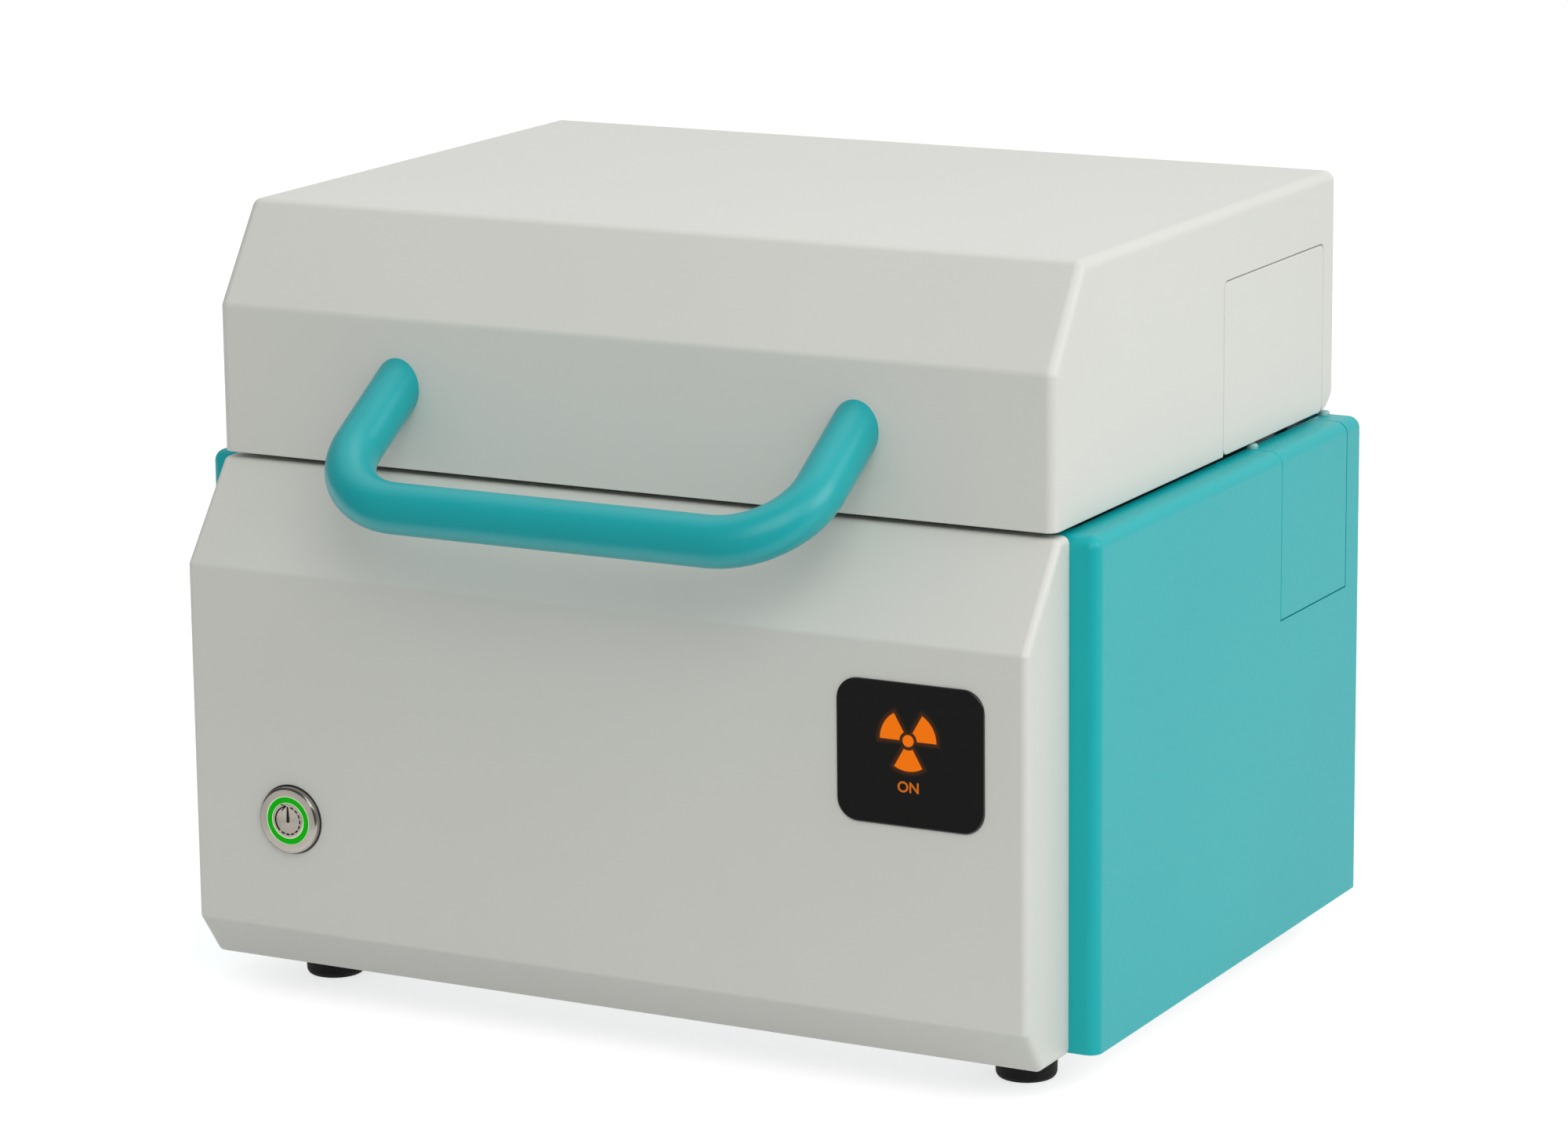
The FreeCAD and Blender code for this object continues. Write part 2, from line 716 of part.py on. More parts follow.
def make_head():
    """Block that aims the tube and the detector at the sample spot from below."""
    spot = ("0", "seat_y", "spot_z")
    tube_turn = (V(0, 1, 0), 180 + value("head_angle"))
    detector_turn = (V(0, 1, 0), 180 - value("head_angle"))
    face_x = "head_reach * sin(head_angle)"
    face_z = "(spot_z - head_reach * cos(head_angle))"
    half_x = "head_half * cos(head_angle)"
    half_z = "head_half * sin(head_angle)"
    outline = [
        ("head_top_width / 2", "spot_z"),
        (f"{face_x} + {half_x}", f"{face_z} + {half_z}"),
        (f"{face_x} - {half_x}", f"{face_z} - {half_z}"),
    ]
    outline += [(f"-({x})", z) for x, z in reversed(outline)]
    block = prism("head_block", "y", outline, *about("seat_y", "head_width"))
    aimed = [
        cylinder("tube_channel", spot, "tube_bore", "head_reach + overcut", tube_turn),
        cylinder(
            "detector_channel", spot, "detector_nose + 2 * cover_seam", "head_reach + overcut",
            detector_turn),
    ]
    well = cylinder(
        "head_well", ("0", "seat_y", "spot_z - head_well_depth"), "aperture_diameter",
        "head_well_depth + overcut")
    keep("measuring_head", cut("measuring_head", block, well, *aimed))

    mount_front = "head_reach + mount_gap"
    mount_rear = f"{mount_front} + mount_thickness"
    mount_low = "-mount_length / 2 + wheel_offset / 2"
    mount_plate = prism(
        "mount_plate", "z", rectangle(half("mount_width"), (mount_low, f"{mount_low} + mount_length")),
        mount_front, mount_rear)
    mount_posts = [
        prism(f"mount_post_{side}", "z",
              rectangle(about(f"{side} * (mount_width - mount_post) / 2", "mount_post"),
                        (mount_low, f"{mount_low} + mount_post")),
              "head_reach", mount_front)
        for side in (-1, 1)]
    tube_hole = cylinder(
        "mount_tube_hole", ("0", "0", mount_front), "xray_tube_diameter", "mount_thickness")
    shaft_hole = cylinder(
        "mount_shaft_hole", ("0", "wheel_offset", mount_front), "shaft_diameter + 2 * pin_clearance",
        "mount_thickness")
    mount = cut("tube_mount", fuse("mount_blank", mount_plate, *mount_posts), tube_hole, shaft_hole)
    keep("tube_mount", place(mount, spot, tube_turn))

    tube_end = f"{mount_front} + xray_tube_length"
    keep("xray_tube", turned("xray_tube", [
        ("0", mount_front),
        ("xray_tube_diameter / 2", mount_front),
        ("xray_tube_diameter / 2", tube_end),
        ("0", tube_end),
    ], spot, tube_turn))
    keep("filter_motor", place(prism(
        "filter_motor", "z", rectangle(half("motor_width"), about("wheel_offset", "motor_width")),
        mount_rear, f"{mount_rear} + motor_length"), spot, tube_turn))

    wheel_start = "head_reach + (mount_gap - wheel_thickness) / 2"
    disc = cylinder("wheel_disc", ("0", "wheel_offset", wheel_start), "wheel_diameter", "wheel_thickness")
    shaft = cylinder(
        "wheel_shaft", ("0", "wheel_offset", wheel_start), "shaft_diameter",
        f"{mount_rear} - ({wheel_start})")
    turn = "360 / filter_windows"
    windows = [
        cylinder(f"filter_window_{step}",
                 (f"wheel_offset * sin({step} * {turn})",
                  f"wheel_offset - wheel_offset * cos({step} * {turn})",
                  f"{wheel_start} - overcut"), "filter_diameter", "wheel_thickness + 2 * overcut")
        for step in range(int(SIZES["filter_windows"]))]
    wheel = cut("filter_wheel", fuse("wheel_blank", disc, shaft), *windows)
    keep("filter_wheel", place(wheel, spot, tube_turn))

    nose = cylinder(
        "detector_snout", ("0", "0", "head_reach - detector_nose_length"), "detector_nose",
        "detector_nose_length")
    can = box(
        "detector_can", half("detector_width"), half("detector_width"),
        ("head_reach", "head_reach + detector_length"))
    keep("detector", place(fuse("detector", nose, can), spot, detector_turn))


# Electronics on the bottom plate and behind the rear panel
def make_electronics():
    """Supply, generator and main board, seated on the bottom plate."""
    generator_x = "(generator_side_gap - side_inside)"
    generator_y = "(housing_front + generator_front_gap)"
    keep("tube_generator", box(
        "tube_generator", (generator_x, f"{generator_x} + generator_width"),
        (generator_y, f"{generator_y} + generator_depth"), ("base_top", "base_top + generator_height")))
    supply_x = "(side_inside - supply_side_gap)"
    supply_y = "(housing_front + supply_front_gap)"
    keep("power_supply", box(
        "power_supply", (f"{supply_x} - supply_width", supply_x), (supply_y, f"{supply_y} + supply_depth"),
        ("base_top", "base_top + supply_height")))
    board_x = "(usb_x + usb_width / 2 + board_margin - board_width / 2)"
    board_y = "(rear_inside - panel_thickness - board_gap - board_depth / 2)"
    board_z = "board_top - board_thickness"
    keep("main_board", box(
        "main_board", about(board_x, "board_width"), about(board_y, "board_depth"), (board_z, "board_top")))
    posts = [
        regular_bar(f"board_post_{side}_{row}", BOARD_POST_SIDES,
                    (f"{board_x} + {side} * (board_width / 2 - board_post)",
                     f"{board_y} + {row} * (board_depth / 2 - board_post)", "base_top"),
                    "board_post", f"{board_z} - base_top")
        for side in (-1, 1) for row in (-1, 1)]
    keep("board_posts", group("board_posts", *posts))


def socket(name, x, z, width, height, depth, wall):
    """Body and hollow of a box that is open to the rear through the panel."""
    shell = box(
        name + "_shell", about(x, width), (f"rear_inside - ({depth})", "rear_inside"), about(z, height))
    hollow = box(
        name + "_hollow", about(x, f"{width} - 2 * ({wall})"),
        (f"rear_inside - ({depth}) + ({wall})", "rear_inside + overcut"),
        about(z, f"{height} - 2 * ({wall})"))
    return shell, hollow


def make_rear_panel():
    """Connector panel with the mains inlet, its rocker switch and the data ports."""
    blank = box(
        "panel_blank", about("panel_x", "panel_width"), ("rear_inside - panel_thickness", "rear_inside"),
        about("panel_z", "panel_height"))
    inlet, inlet_hollow = socket(
        "inlet", "inlet_x", "panel_z", "inlet_width", "inlet_height", "inlet_depth", "inlet_wall")
    frame, frame_hollow = socket(
        "switch", "switch_x", "panel_z", "switch_width", "inlet_height", "inlet_depth", "switch_wall")
    usb, usb_hollow = socket("usb", "usb_x", "usb_z", "usb_width", "usb_height", "port_depth", "port_wall")
    network, network_hollow = socket(
        "network", "network_x", "panel_z", "network_width", "network_height", "port_depth", "port_wall")
    keep("connector_panel", cut("connector_panel", blank, inlet, frame, usb, network))
    pins = [
        box(f"inlet_pin_{step}",
            about(f"inlet_x + {step} * inlet_width / 4", "inlet_pin_width"),
            ("rear_inside - inlet_depth + inlet_wall", "rear_inside - inlet_pin_recess"),
            about(f"panel_z + {shift}", "inlet_pin_height"))
        for step, shift in ((-1, "0"), (0, "inlet_height / 8"), (1, "0"))]
    keep("mains_inlet", fuse("mains_inlet", cut("inlet_body", inlet, inlet_hollow), *pins))
    keep("usb_port", cut("usb_port", usb, usb_hollow))
    keep("network_port", cut("network_port", network, network_hollow))

    keep("switch_frame", cut("switch_frame", frame, frame_hollow))
    rocker = prism("switch_rocker", "x", [
        ("-rocker_depth", "-rocker_back"),
        ("rocker_tip_reach", "-rocker_tip_height"),
        ("rocker_depth", "0"),
        ("rocker_tip_reach", "rocker_tip_height"),
        ("-rocker_depth", "rocker_back"),
    ], *half("switch_width - 2 * switch_wall"))
    place(rocker, ("switch_x", "rear_inside - rocker_depth", "panel_z"), (V(1, 0, 0), value("rocker_tilt")))
    keep("switch_rocker", rocker)


def make_fan():
    """Axial fan behind the vent slots."""
    centre = ("fan_x", "rear_inside - fan_depth", "fan_z")
    blank = box(
        "fan_blank", about("fan_x", "fan_size"), ("rear_inside - fan_depth", "rear_inside"),
        about("fan_z", "fan_size"))
    bore = cylinder(
        "fan_bore_hole", ("fan_x", "rear_inside - fan_depth - overcut", "fan_z"), "fan_bore",
        "fan_depth + 2 * overcut", ALONG_Y)
    spoke_length = "(fan_size + fan_bore) / 2"
    spokes = [
        box(f"fan_spoke_{direction}",
            about("fan_x", spoke_length if direction == "x" else "fan_spoke"),
            ("rear_inside - fan_depth", "rear_inside - fan_depth + fan_spoke_depth"),
            about("fan_z", spoke_length if direction == "z" else "fan_spoke"))
        for direction in ("x", "z")]
    boss = cylinder("fan_boss", centre, "fan_hub", "fan_spoke_depth", ALONG_Y)
    keep("fan_frame", fuse("fan_frame", cut("fan_shroud", blank, bore), *spokes, boss))

    start = f"{centre[1]} + fan_spoke_depth"
    length = "(fan_depth - fan_spoke_depth - fan_wall_gap)"
    hub = cylinder("fan_hub_can", ("fan_x", start, "fan_z"), "fan_hub", length, ALONG_Y)
    tip = "fan_bore / 2 - fan_tip_gap"
    blades = []
    for step in range(int(SIZES["fan_blades"])):
        low, high = half("fan_blade_pitch")
        blade = prism(f"fan_blade_{step}", "x", [
            ("fan_blade", low), ("2 * fan_blade", low),
            (f"{length} - fan_blade", high), (f"{length} - 2 * fan_blade", high),
        ], "fan_hub / 2 - fan_blade", tip)
        turn = (V(0, 1, 0), step * 360 / SIZES["fan_blades"])
        blades.append(place(blade, ("fan_x", start, "fan_z"), turn))
    keep("fan_rotor", fuse("fan_rotor", hub, *blades))


# Lid
def lid_form(name, inset, edge_radius="0", drop="0"):
    """Lid profile with its sloped front and round heel, drawn in by an inset."""
    slope = "atan(lid_slope_run / (lid_height - lid_front_height))"
    front = f"lid_front + ({inset})"
    rear = f"back_y - ({inset})"
    low = f"lid_bottom - ({drop})"
    top = f"lid_top - ({inset})"
    body = prism(name, "x", [
        (front, low),
        (front, f"lid_bottom + lid_front_height - ({inset}) * tan({slope} / 2)"),
        (f"lid_front + lid_slope_run + ({inset}) * tan((90 deg - {slope}) / 2)", top),
        (rear, top),
        (rear, low),
    ], f"-lid_width / 2 + ({inset})", f"lid_width / 2 - ({inset})")
    if edge_radius != "0":
        doc.recompute()
        floor = body.Shape.BoundBox.ZMin
        round_edges(body, f"{name}_edges", edge_radius, lambda edge: edge.BoundBox.ZMax > floor + 1)
    corner = box(
        f"{name}_heel_corner", half("lid_width + 2 * overcut"), ("hinge_y", "back_y + overcut"),
        ("lid_bottom - 2 * overcut", "hinge_z"))
    heel = cylinder(
        f"{name}_heel", ("-lid_width / 2 - 2 * overcut", "hinge_y", "hinge_z"),
        f"2 * (heel_radius - ({inset}))", "lid_width + 4 * overcut", ALONG_X)
    return cut(f"{name}_heeled", body, cut(f"{name}_heel_waste", corner, heel))


def make_lid_shell():
    """White lid shell, open below, with hinge slots and recessed side covers."""
    outer = lid_form("lid_outer", "0", edge_radius="lid_edge")
    inner = lid_form("lid_inner", "lid_wall", drop="overcut")
    wall = cut("lid_wall_all_round", outer, inner)
    slot = box(
        "lid_slot", ("bracket_inside - slot_clearance * 2", "arm_inside"),
        ("hinge_y - overcut", "back_y + overcut"), ("lid_bottom - overcut", "hinge_z + bracket_eye / 2"))
    cover_rear = "(back_y - lid_cover_inset)"

    cover_blank = plate(
        "lid_cover_blank", ("lid_width / 2 - lid_cover_thickness", "lid_width / 2"),
        (f"{cover_rear} - lid_cover_depth + cover_seam", f"{cover_rear} - cover_seam"),
        ("lid_bottom + cover_seam", "lid_bottom + lid_cover_height - cover_seam"), "cover_corner", "x")
    recess = plate(
        "lid_cover_recess", ("lid_width / 2 - lid_cover_thickness", "lid_width / 2 + overcut"),
        (f"{cover_rear} - lid_cover_depth", cover_rear),
        ("lid_bottom - 2 * cover_corner", "lid_bottom + lid_cover_height"), "cover_corner", "x")
    heel_waste = doc.getObject("lid_outer_heel_waste")
    side_cover = cut("lid_side_cover_right", cover_blank, heel_waste)
    keep("lid_side_cover_right", side_cover)
    keep("lid_side_cover_left", mirrored("lid_side_cover_left", side_cover))
    keep("lid_shell", cut(
        "lid_shell", wall, slot, mirrored("lid_slot_left", slot), recess,
        mirrored("lid_cover_recess_left", recess)))


def make_liner():
    """Shielded sample chamber, open below, with its flange, gasket and magnets."""
    flange_y = ("lid_front + lid_wall + running_gap", "chamber_rear + liner_wall + flange_border")
    flange = box(
        "liner_flange", half("2 * flange_side"), flange_y, ("flange_bottom", "flange_bottom + liner_wall"))
    can = box(
        "liner_can", half("2 * (chamber_side + liner_wall)"),
        ("chamber_front - liner_wall", "chamber_rear + liner_wall"),
        ("flange_bottom", "chamber_top + liner_wall"))
    hollow = box(
        "liner_hollow", half("2 * chamber_side"), ("chamber_front", "chamber_rear"),
        ("flange_bottom - overcut", "chamber_top"))
    keep("chamber_liner", cut("chamber_liner", fuse("liner_blank", flange, can), hollow))

    gasket_z = ("deck_top + running_gap", "flange_bottom")
    outer = box(
        "gasket_outer", half("2 * gasket_side"),
        ("chamber_front - gasket_width", "chamber_rear + gasket_width"), gasket_z)
    inner = box(
        "gasket_inner", half("2 * chamber_side"), ("chamber_front", "chamber_rear"),
        (f"{gasket_z[0]} - overcut", f"{gasket_z[1]} + overcut"))
    keep("lid_gasket", cut("lid_gasket", outer, inner))

    magnet_x = "(flange_side + gasket_side) / 2"
    magnets = [
        box(f"magnet_{side}",
            about(f"{side} * {magnet_x}", "flange_side - gasket_side - 2 * magnet_margin"),
            about("magnet_y", "magnet_length"), ("flange_bottom - magnet_thickness", "flange_bottom"))
        for side in (-1, 1)]
    keep("interlock_magnets", group("interlock_magnets", *magnets))
    sensors = [
        box(f"sensor_{side}",
            about(f"{side} * {magnet_x}", "sensor_width"), about("magnet_y", "sensor_length"),
            ("deck_bottom - sensor_height", "deck_bottom"))
        for side in (-1, 1)]
    keep("interlock_sensors", group("interlock_sensors", *sensors))


def make_hinge():
    """Steel brackets through the deck, their pins and the lid's side arms."""
    inside = "bracket_inside"
    low = "deck_bottom - bracket_drop"
    neck = box(
        "bracket_neck", (inside, "bracket_outside"),
        ("hinge_y - bracket_width / 2", "hinge_y + bracket_width / 2"), (low, "hinge_z"))
    eye = cylinder(
        "bracket_eye_disc", (inside, "hinge_y", "hinge_z"), "bracket_eye", f"flange_side - {inside}",
        ALONG_X)
    foot = box(
        "bracket_foot_plate", (f"{inside} - bracket_foot", "bracket_outside"),
        ("hinge_y - bracket_width / 2 - bracket_foot", "hinge_y + bracket_width / 2"),
        ("deck_bottom - bracket_thickness", "deck_bottom"))
    web = prism("bracket_web", "x", [
        (f"hinge_y - bracket_width / 2 - bracket_foot", "deck_bottom - bracket_thickness"),
        ("hinge_y - bracket_width / 2", low),
        ("hinge_y + bracket_width / 2", low),
        ("hinge_y + bracket_width / 2", "deck_bottom - bracket_thickness"),
    ], inside, "bracket_outside")
    bore = cylinder(
        "bracket_bore", (f"{inside} - overcut", "hinge_y", "hinge_z"), "pin_diameter",
        f"lid_inside - {inside}", ALONG_X)
    bracket = cut("hinge_bracket_right", fuse("bracket_blank", neck, eye, foot, web), bore)
    keep("hinge_bracket_right", bracket)
    keep("hinge_bracket_left", mirrored("hinge_bracket_left", bracket))

    pin = cylinder(
        "pin_right", (inside, "hinge_y", "hinge_z"), "pin_diameter", f"lid_inside - running_gap - {inside}",
        ALONG_X)
    keep("hinge_pins", group("hinge_pins", pin, mirrored("pin_left", pin)))

    arm_plate = prism("arm_plate", "x", [
        ("hinge_y - arm_reach", "hinge_z"),
        ("hinge_y", "hinge_z - arm_eye / 2"),
        ("hinge_y + arm_eye / 2", "hinge_z"),
        ("hinge_y + arm_eye / 2", "hinge_z + arm_rise"),
        ("hinge_y - arm_reach", "hinge_z + arm_rise"),
    ], "arm_inside", "lid_inside")
    arm_disc = cylinder(
        "arm_eye_disc", ("arm_inside", "hinge_y", "hinge_z"), "arm_eye", "arm_thickness", ALONG_X)
    arm_bore = cylinder(
        "arm_bore", ("arm_inside - overcut", "hinge_y", "hinge_z"), "pin_diameter + 2 * pin_clearance",
        "arm_thickness + 2 * overcut", ALONG_X)
    arm = cut("hinge_arm_right", fuse("arm_blank", arm_plate, arm_disc), arm_bore)
    keep("hinge_arm_right", arm)
    keep("hinge_arm_left", mirrored("hinge_arm_left", arm))


def make_bumpers():
    """Small clear bumpers on the rim that the closed lid rests over."""
    bumpers = []
    x = "(lid_width / 2 - lid_wall / 2)"
    for side in (-1, 1):
        for row, y in (("front", "back_y - front_bumper_inset"), ("rear", "back_y - rear_bumper_inset")):
            bumpers.append(regular_bar(
                f"bumper_{row}_{side}", BUMPER_SIDES, (f"{side} * {x}", y, "housing_top"),
                "bumper_diameter", "lid_gap - bumper_gap"))
    keep("lid_bumpers", group("lid_bumpers", *bumpers))


def handle_tube():
    """Tube along a wide U in its own XY plane, its legs running to +Y."""
    leg = "arm_length - bend_radius + tube_diameter"
    pieces = [cylinder(
        "handle_grip", ("-handle_span / 2 + bend_radius", "-arm_length", "0"), "tube_diameter",
        "handle_span - 2 * bend_radius", ALONG_X)]
    for side, turn in ((-1, 180), (1, 270)):
        pieces.append(cylinder(
            f"handle_leg_{side}", (f"{side} * handle_span / 2", "-arm_length + bend_radius", "0"),
            "tube_diameter", leg, ALONG_Y))
        bend = doc.addObject("Part::Torus", f"handle_bend_{side}")
        bend.Angle3 = 90
        bind(bend, Radius1="bend_radius", Radius2="tube_diameter / 2")
        at = (f"{side} * (handle_span / 2 - bend_radius)", "-arm_length + bend_radius", "0")
        pieces.append(place(bend, at, (V(0, 0, 1), turn)))
    return fuse("handle_tube", *pieces)


def make_handle():
    """Bent tube handle that stands out of the lid front, tilted down."""
    body = handle_tube()
    place(body, ("0", "lid_front", "lid_bottom + handle_rise"), (V(1, 0, 0), value("handle_tilt")))
    behind = box(
        "handle_trim", half("handle_span + 4 * tube_diameter"),
        ("lid_front", "lid_front + 4 * tube_diameter"),
        about("lid_bottom + handle_rise", "6 * tube_diameter"))
    keep("carry_handle", cut("carry_handle", body, behind))


def check_and_write():
    """Stop on any failed object, then write every sub-part to its file."""
    doc.recompute()
    failed = [item.Name for item in doc.Objects if {"Invalid", "Error"} & set(item.State)]
    failed += [name for name, solid in kept.items() if solid.Shape.isNull() or not solid.Shape.isValid()]
    if failed:
        raise RuntimeError("failed: " + ", ".join(failed))
    os.makedirs("parts", exist_ok=True)
    for name, solid in kept.items():
        solid.Shape.exportStep(f"parts/{name}.step")
    print(len(kept), "sub-parts written")


make_housing()
make_base_plate()
make_feet()
make_fascia()
make_button()
make_lamp()
make_deck()
make_seat()
make_head()
make_electronics()
make_rear_panel()
make_fan()
make_lid_shell()
make_liner()
make_hinge()
make_bumpers()
make_handle()
check_and_write()
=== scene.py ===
import math

import bmesh
import bpy
import numpy as np
from mathutils import Matrix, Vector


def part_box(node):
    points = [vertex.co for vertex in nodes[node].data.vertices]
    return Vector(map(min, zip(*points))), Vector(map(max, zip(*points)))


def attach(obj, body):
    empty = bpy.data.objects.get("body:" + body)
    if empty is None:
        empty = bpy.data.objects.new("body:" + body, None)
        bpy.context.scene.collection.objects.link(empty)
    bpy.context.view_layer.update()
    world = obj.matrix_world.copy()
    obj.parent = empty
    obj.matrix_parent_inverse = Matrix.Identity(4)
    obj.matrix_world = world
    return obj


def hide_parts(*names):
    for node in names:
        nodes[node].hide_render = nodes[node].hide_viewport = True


# Bench-top x-ray spectrometer: teal sheet housing, white folded fascia and hinged lid.
# Axes of the construction: +X right, +Y rear, +Z up. Shapes are written in millimetres and become
# metres, Blender's unit, when they turn into meshes.
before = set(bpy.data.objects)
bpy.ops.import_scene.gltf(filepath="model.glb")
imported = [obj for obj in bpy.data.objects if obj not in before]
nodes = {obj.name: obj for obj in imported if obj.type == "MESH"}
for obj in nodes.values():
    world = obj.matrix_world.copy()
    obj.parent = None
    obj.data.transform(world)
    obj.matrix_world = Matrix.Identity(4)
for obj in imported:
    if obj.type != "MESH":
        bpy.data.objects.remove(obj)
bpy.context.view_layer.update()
MM = 0.001
TURN = 2 * math.pi


def linear(code):
    """Linear RGBA of an sRGB hex code: c / 12.92 up to 0.04045, else
    ((c + 0.055) / 1.055) ** 2.4."""
    c = np.array([int(code[i:i + 2], 16) for i in (0, 2, 4)]) / 255
    c = np.where(c <= 0.04045, c / 12.92, ((c + 0.055) / 1.055) ** 2.4)
    return (*(float(part) for part in c), 1.0)


# Materials
def add(tree, kind, inputs=None, **settings):
    """Adds one node. Each input is a number, a colour or the output that feeds it."""
    made = tree.nodes.new(kind)
    for key, setting in settings.items():
        setattr(made, key, setting)
    for key, given in (inputs or {}).items():
        if isinstance(given, bpy.types.NodeSocket):
            tree.links.new(given, made.inputs[key])
        else:
            made.inputs[key].default_value = given
    return made


def finish(name, colours, cloud, grain, relief, roughness, stretch=(1, 1, 1), **shader):
    """A surface whose colour drifts between two tones over `cloud` mm. Its grain of `grain` mm,
    stretched along an axis for brushed work, stands `relief` mm high and varies the roughness."""
    material = bpy.data.materials.new(name)
    material.use_nodes = True
    tree = material.node_tree
    tree.nodes.clear()
    place = add(tree, "ShaderNodeTexCoord").outputs["Object"]
    drift = add(tree, "ShaderNodeTexNoise", {"Vector": place, "Scale": 1000 / cloud, "Detail": 3.0})
    tone = add(tree, "ShaderNodeMix", {
        0: drift.outputs["Fac"], 6: linear(colours[0]), 7: linear(colours[1])}, data_type="RGBA")
    drawn = add(tree, "ShaderNodeMapping", {"Vector": place, "Scale": stretch})
    fine = add(tree, "ShaderNodeTexNoise", {
        "Vector": drawn.outputs["Vector"], "Scale": 1000 / grain, "Detail": 4.0, "Roughness": 0.6})
    rough = add(tree, "ShaderNodeMapRange", {
        "Value": fine.outputs["Fac"], "From Min": 0.3, "From Max": 0.7,
        "To Min": roughness[0], "To Max": roughness[1]})
    bump = add(tree, "ShaderNodeBump", {
        "Height": fine.outputs["Fac"], "Distance": relief * MM, "Strength": 1.0})
    surface = add(tree, "ShaderNodeBsdfPrincipled", {
        "Base Color": tone.outputs[2], "Roughness": rough.outputs["Result"],
        "Normal": bump.outputs["Normal"], **shader})
    add(tree, "ShaderNodeOutputMaterial", {"Surface": surface.outputs["BSDF"]})
    return material


# Powder coat on sheet steel: satin, with the slight orange peel of baked powder
WHITE = finish("white_powder_coat", ("DDDED7", "E2E3DC"), 90, 1.6, 0.012, (0.36, 0.46))
TEAL = finish(
    "teal_powder_coat", ("03AFB3", "08B6BA"), 90, 1.6, 0.012, (0.36, 0.46),
    **{"Specular IOR Level": 0.36})
# The same powder on the handle's tube, a little smoother, and painted a little darker for the shade
# on the handle
SHADED_TUBE_TEAL = finish("teal_tube_coat_painted_shade", ("02A7AC", "06AEB3"), 90, 1.6, 0.01, (0.3, 0.38))
# Moulded rubber: dead black with a soft bloom and a fine mould grain
RUBBER = finish(
    "moulded_rubber", ("0A0A0A", "121211"), 7, 0.9, 0.03, (0.62, 0.8),
    **{"Specular IOR Level": 0.3})
# Urethane bumper: milky and slightly glossy, tinted by the teal under it
URETHANE = finish(
    "clear_urethane", ("9CCECC", "AAD8D6"), 3, 0.8, 0.004, (0.08, 0.15),
    **{"Transmission Weight": 0.2})
# Brushed stainless sheet: hairlines along X, cool grey
STAINLESS = finish(
    "brushed_stainless", ("A9ABAA", "B6B7B5"), 40, 0.8, 0.006, (0.38, 0.52), (0.05, 1, 1),
    Metallic=1.0)
# Bead-blasted steel of the chamber: matt and even
BLASTED = finish("blasted_steel", ("B9BAB8", "C6C6C3"), 25, 0.6, 0.01, (0.5, 0.62), Metallic=0.7)
# Zinc-plated steel: faint bluish spangle, satin
ZINC = finish("zinc_plated_steel", ("A3A8AD", "B4B6B4"), 12, 2.0, 0.01, (0.3, 0.45), Metallic=1.0)
# Machined aluminium: light, with fine cutter marks along X
ALUMINIUM = finish(
    "machined_aluminium", ("BFC1C3", "CCCDCE"), 30, 0.9, 0.008, (0.28, 0.42), (0.08, 1, 1),
    Metallic=1.0)
# Brass of pins and posts: drawn along Y, slightly dulled
BRASS = finish(
    "drawn_brass", ("C9A452", "D6B566"), 4, 0.5, 0.004, (0.22, 0.34), (1, 0.1, 1), Metallic=1.0)
# Closed-cell foam gasket: charcoal with visible cells
FOAM = finish("foam_gasket", ("2B2C2D", "3A3B3C"), 4, 0.9, 0.08, (0.8, 0.95))
# Black moulding of sockets, switch, fan, seal and chips: fine spark-eroded grain
NYLON = finish("moulded_nylon", ("151516", "1F2021"), 15, 0.7, 0.02, (0.4, 0.55))
# Grey ABS box of the high-voltage unit
ABS = finish("moulded_abs", ("8E9293", "999D9D"), 25, 0.8, 0.015, (0.42, 0.55))
# Epoxy-glass circuit board: green solder mask over copper tracks
BOARD = finish("circuit_board", ("0D5A34", "157046"), 5, 1.6, 0.03, (0.25, 0.4))
# Polyimide window film: amber, thin and glossy
FILM = finish(
    "polyimide_film", ("B8711A", "C98224"), 10, 3.0, 0.004, (0.12, 0.2),
    **{"Transmission Weight": 0.35})
# Gloss black acrylic of the lamp window: polished, mirror-like, with a faint ripple
ACRYLIC = finish("black_acrylic", ("151514", "191918"), 30, 14.0, 0.004, (0.05, 0.09))
# Polished edge of the bezel: smooth enough to mirror the unlit room in front, and painted darker
# than the bezel's steel for the dark line of shade and reflection along that edge
RIM_STEEL_PAINTED_SHADE = finish(
    "polished_rim_painted_shade", ("9C9892", "A8A49D"), 5, 0.6, 0.002, (0.12, 0.18), Metallic=1.0)
# Laser mark on the button cap: matt dark oxide
LASER_MARK = finish("laser_mark", ("1C1814", "26211C"), 2, 0.3, 0.004, (0.6, 0.75), Metallic=0.4)
# White print on the rocker, and the white plastic of pin headers and diodes
PRINT = finish("white_print", ("D9DAD6", "E2E3E0"), 4, 0.6, 0.006, (0.5, 0.6))


def shader_of(material):
    """The shader node of a finished material."""
    return next(item for item in material.node_tree.nodes if item.type == "BSDF_PRINCIPLED")


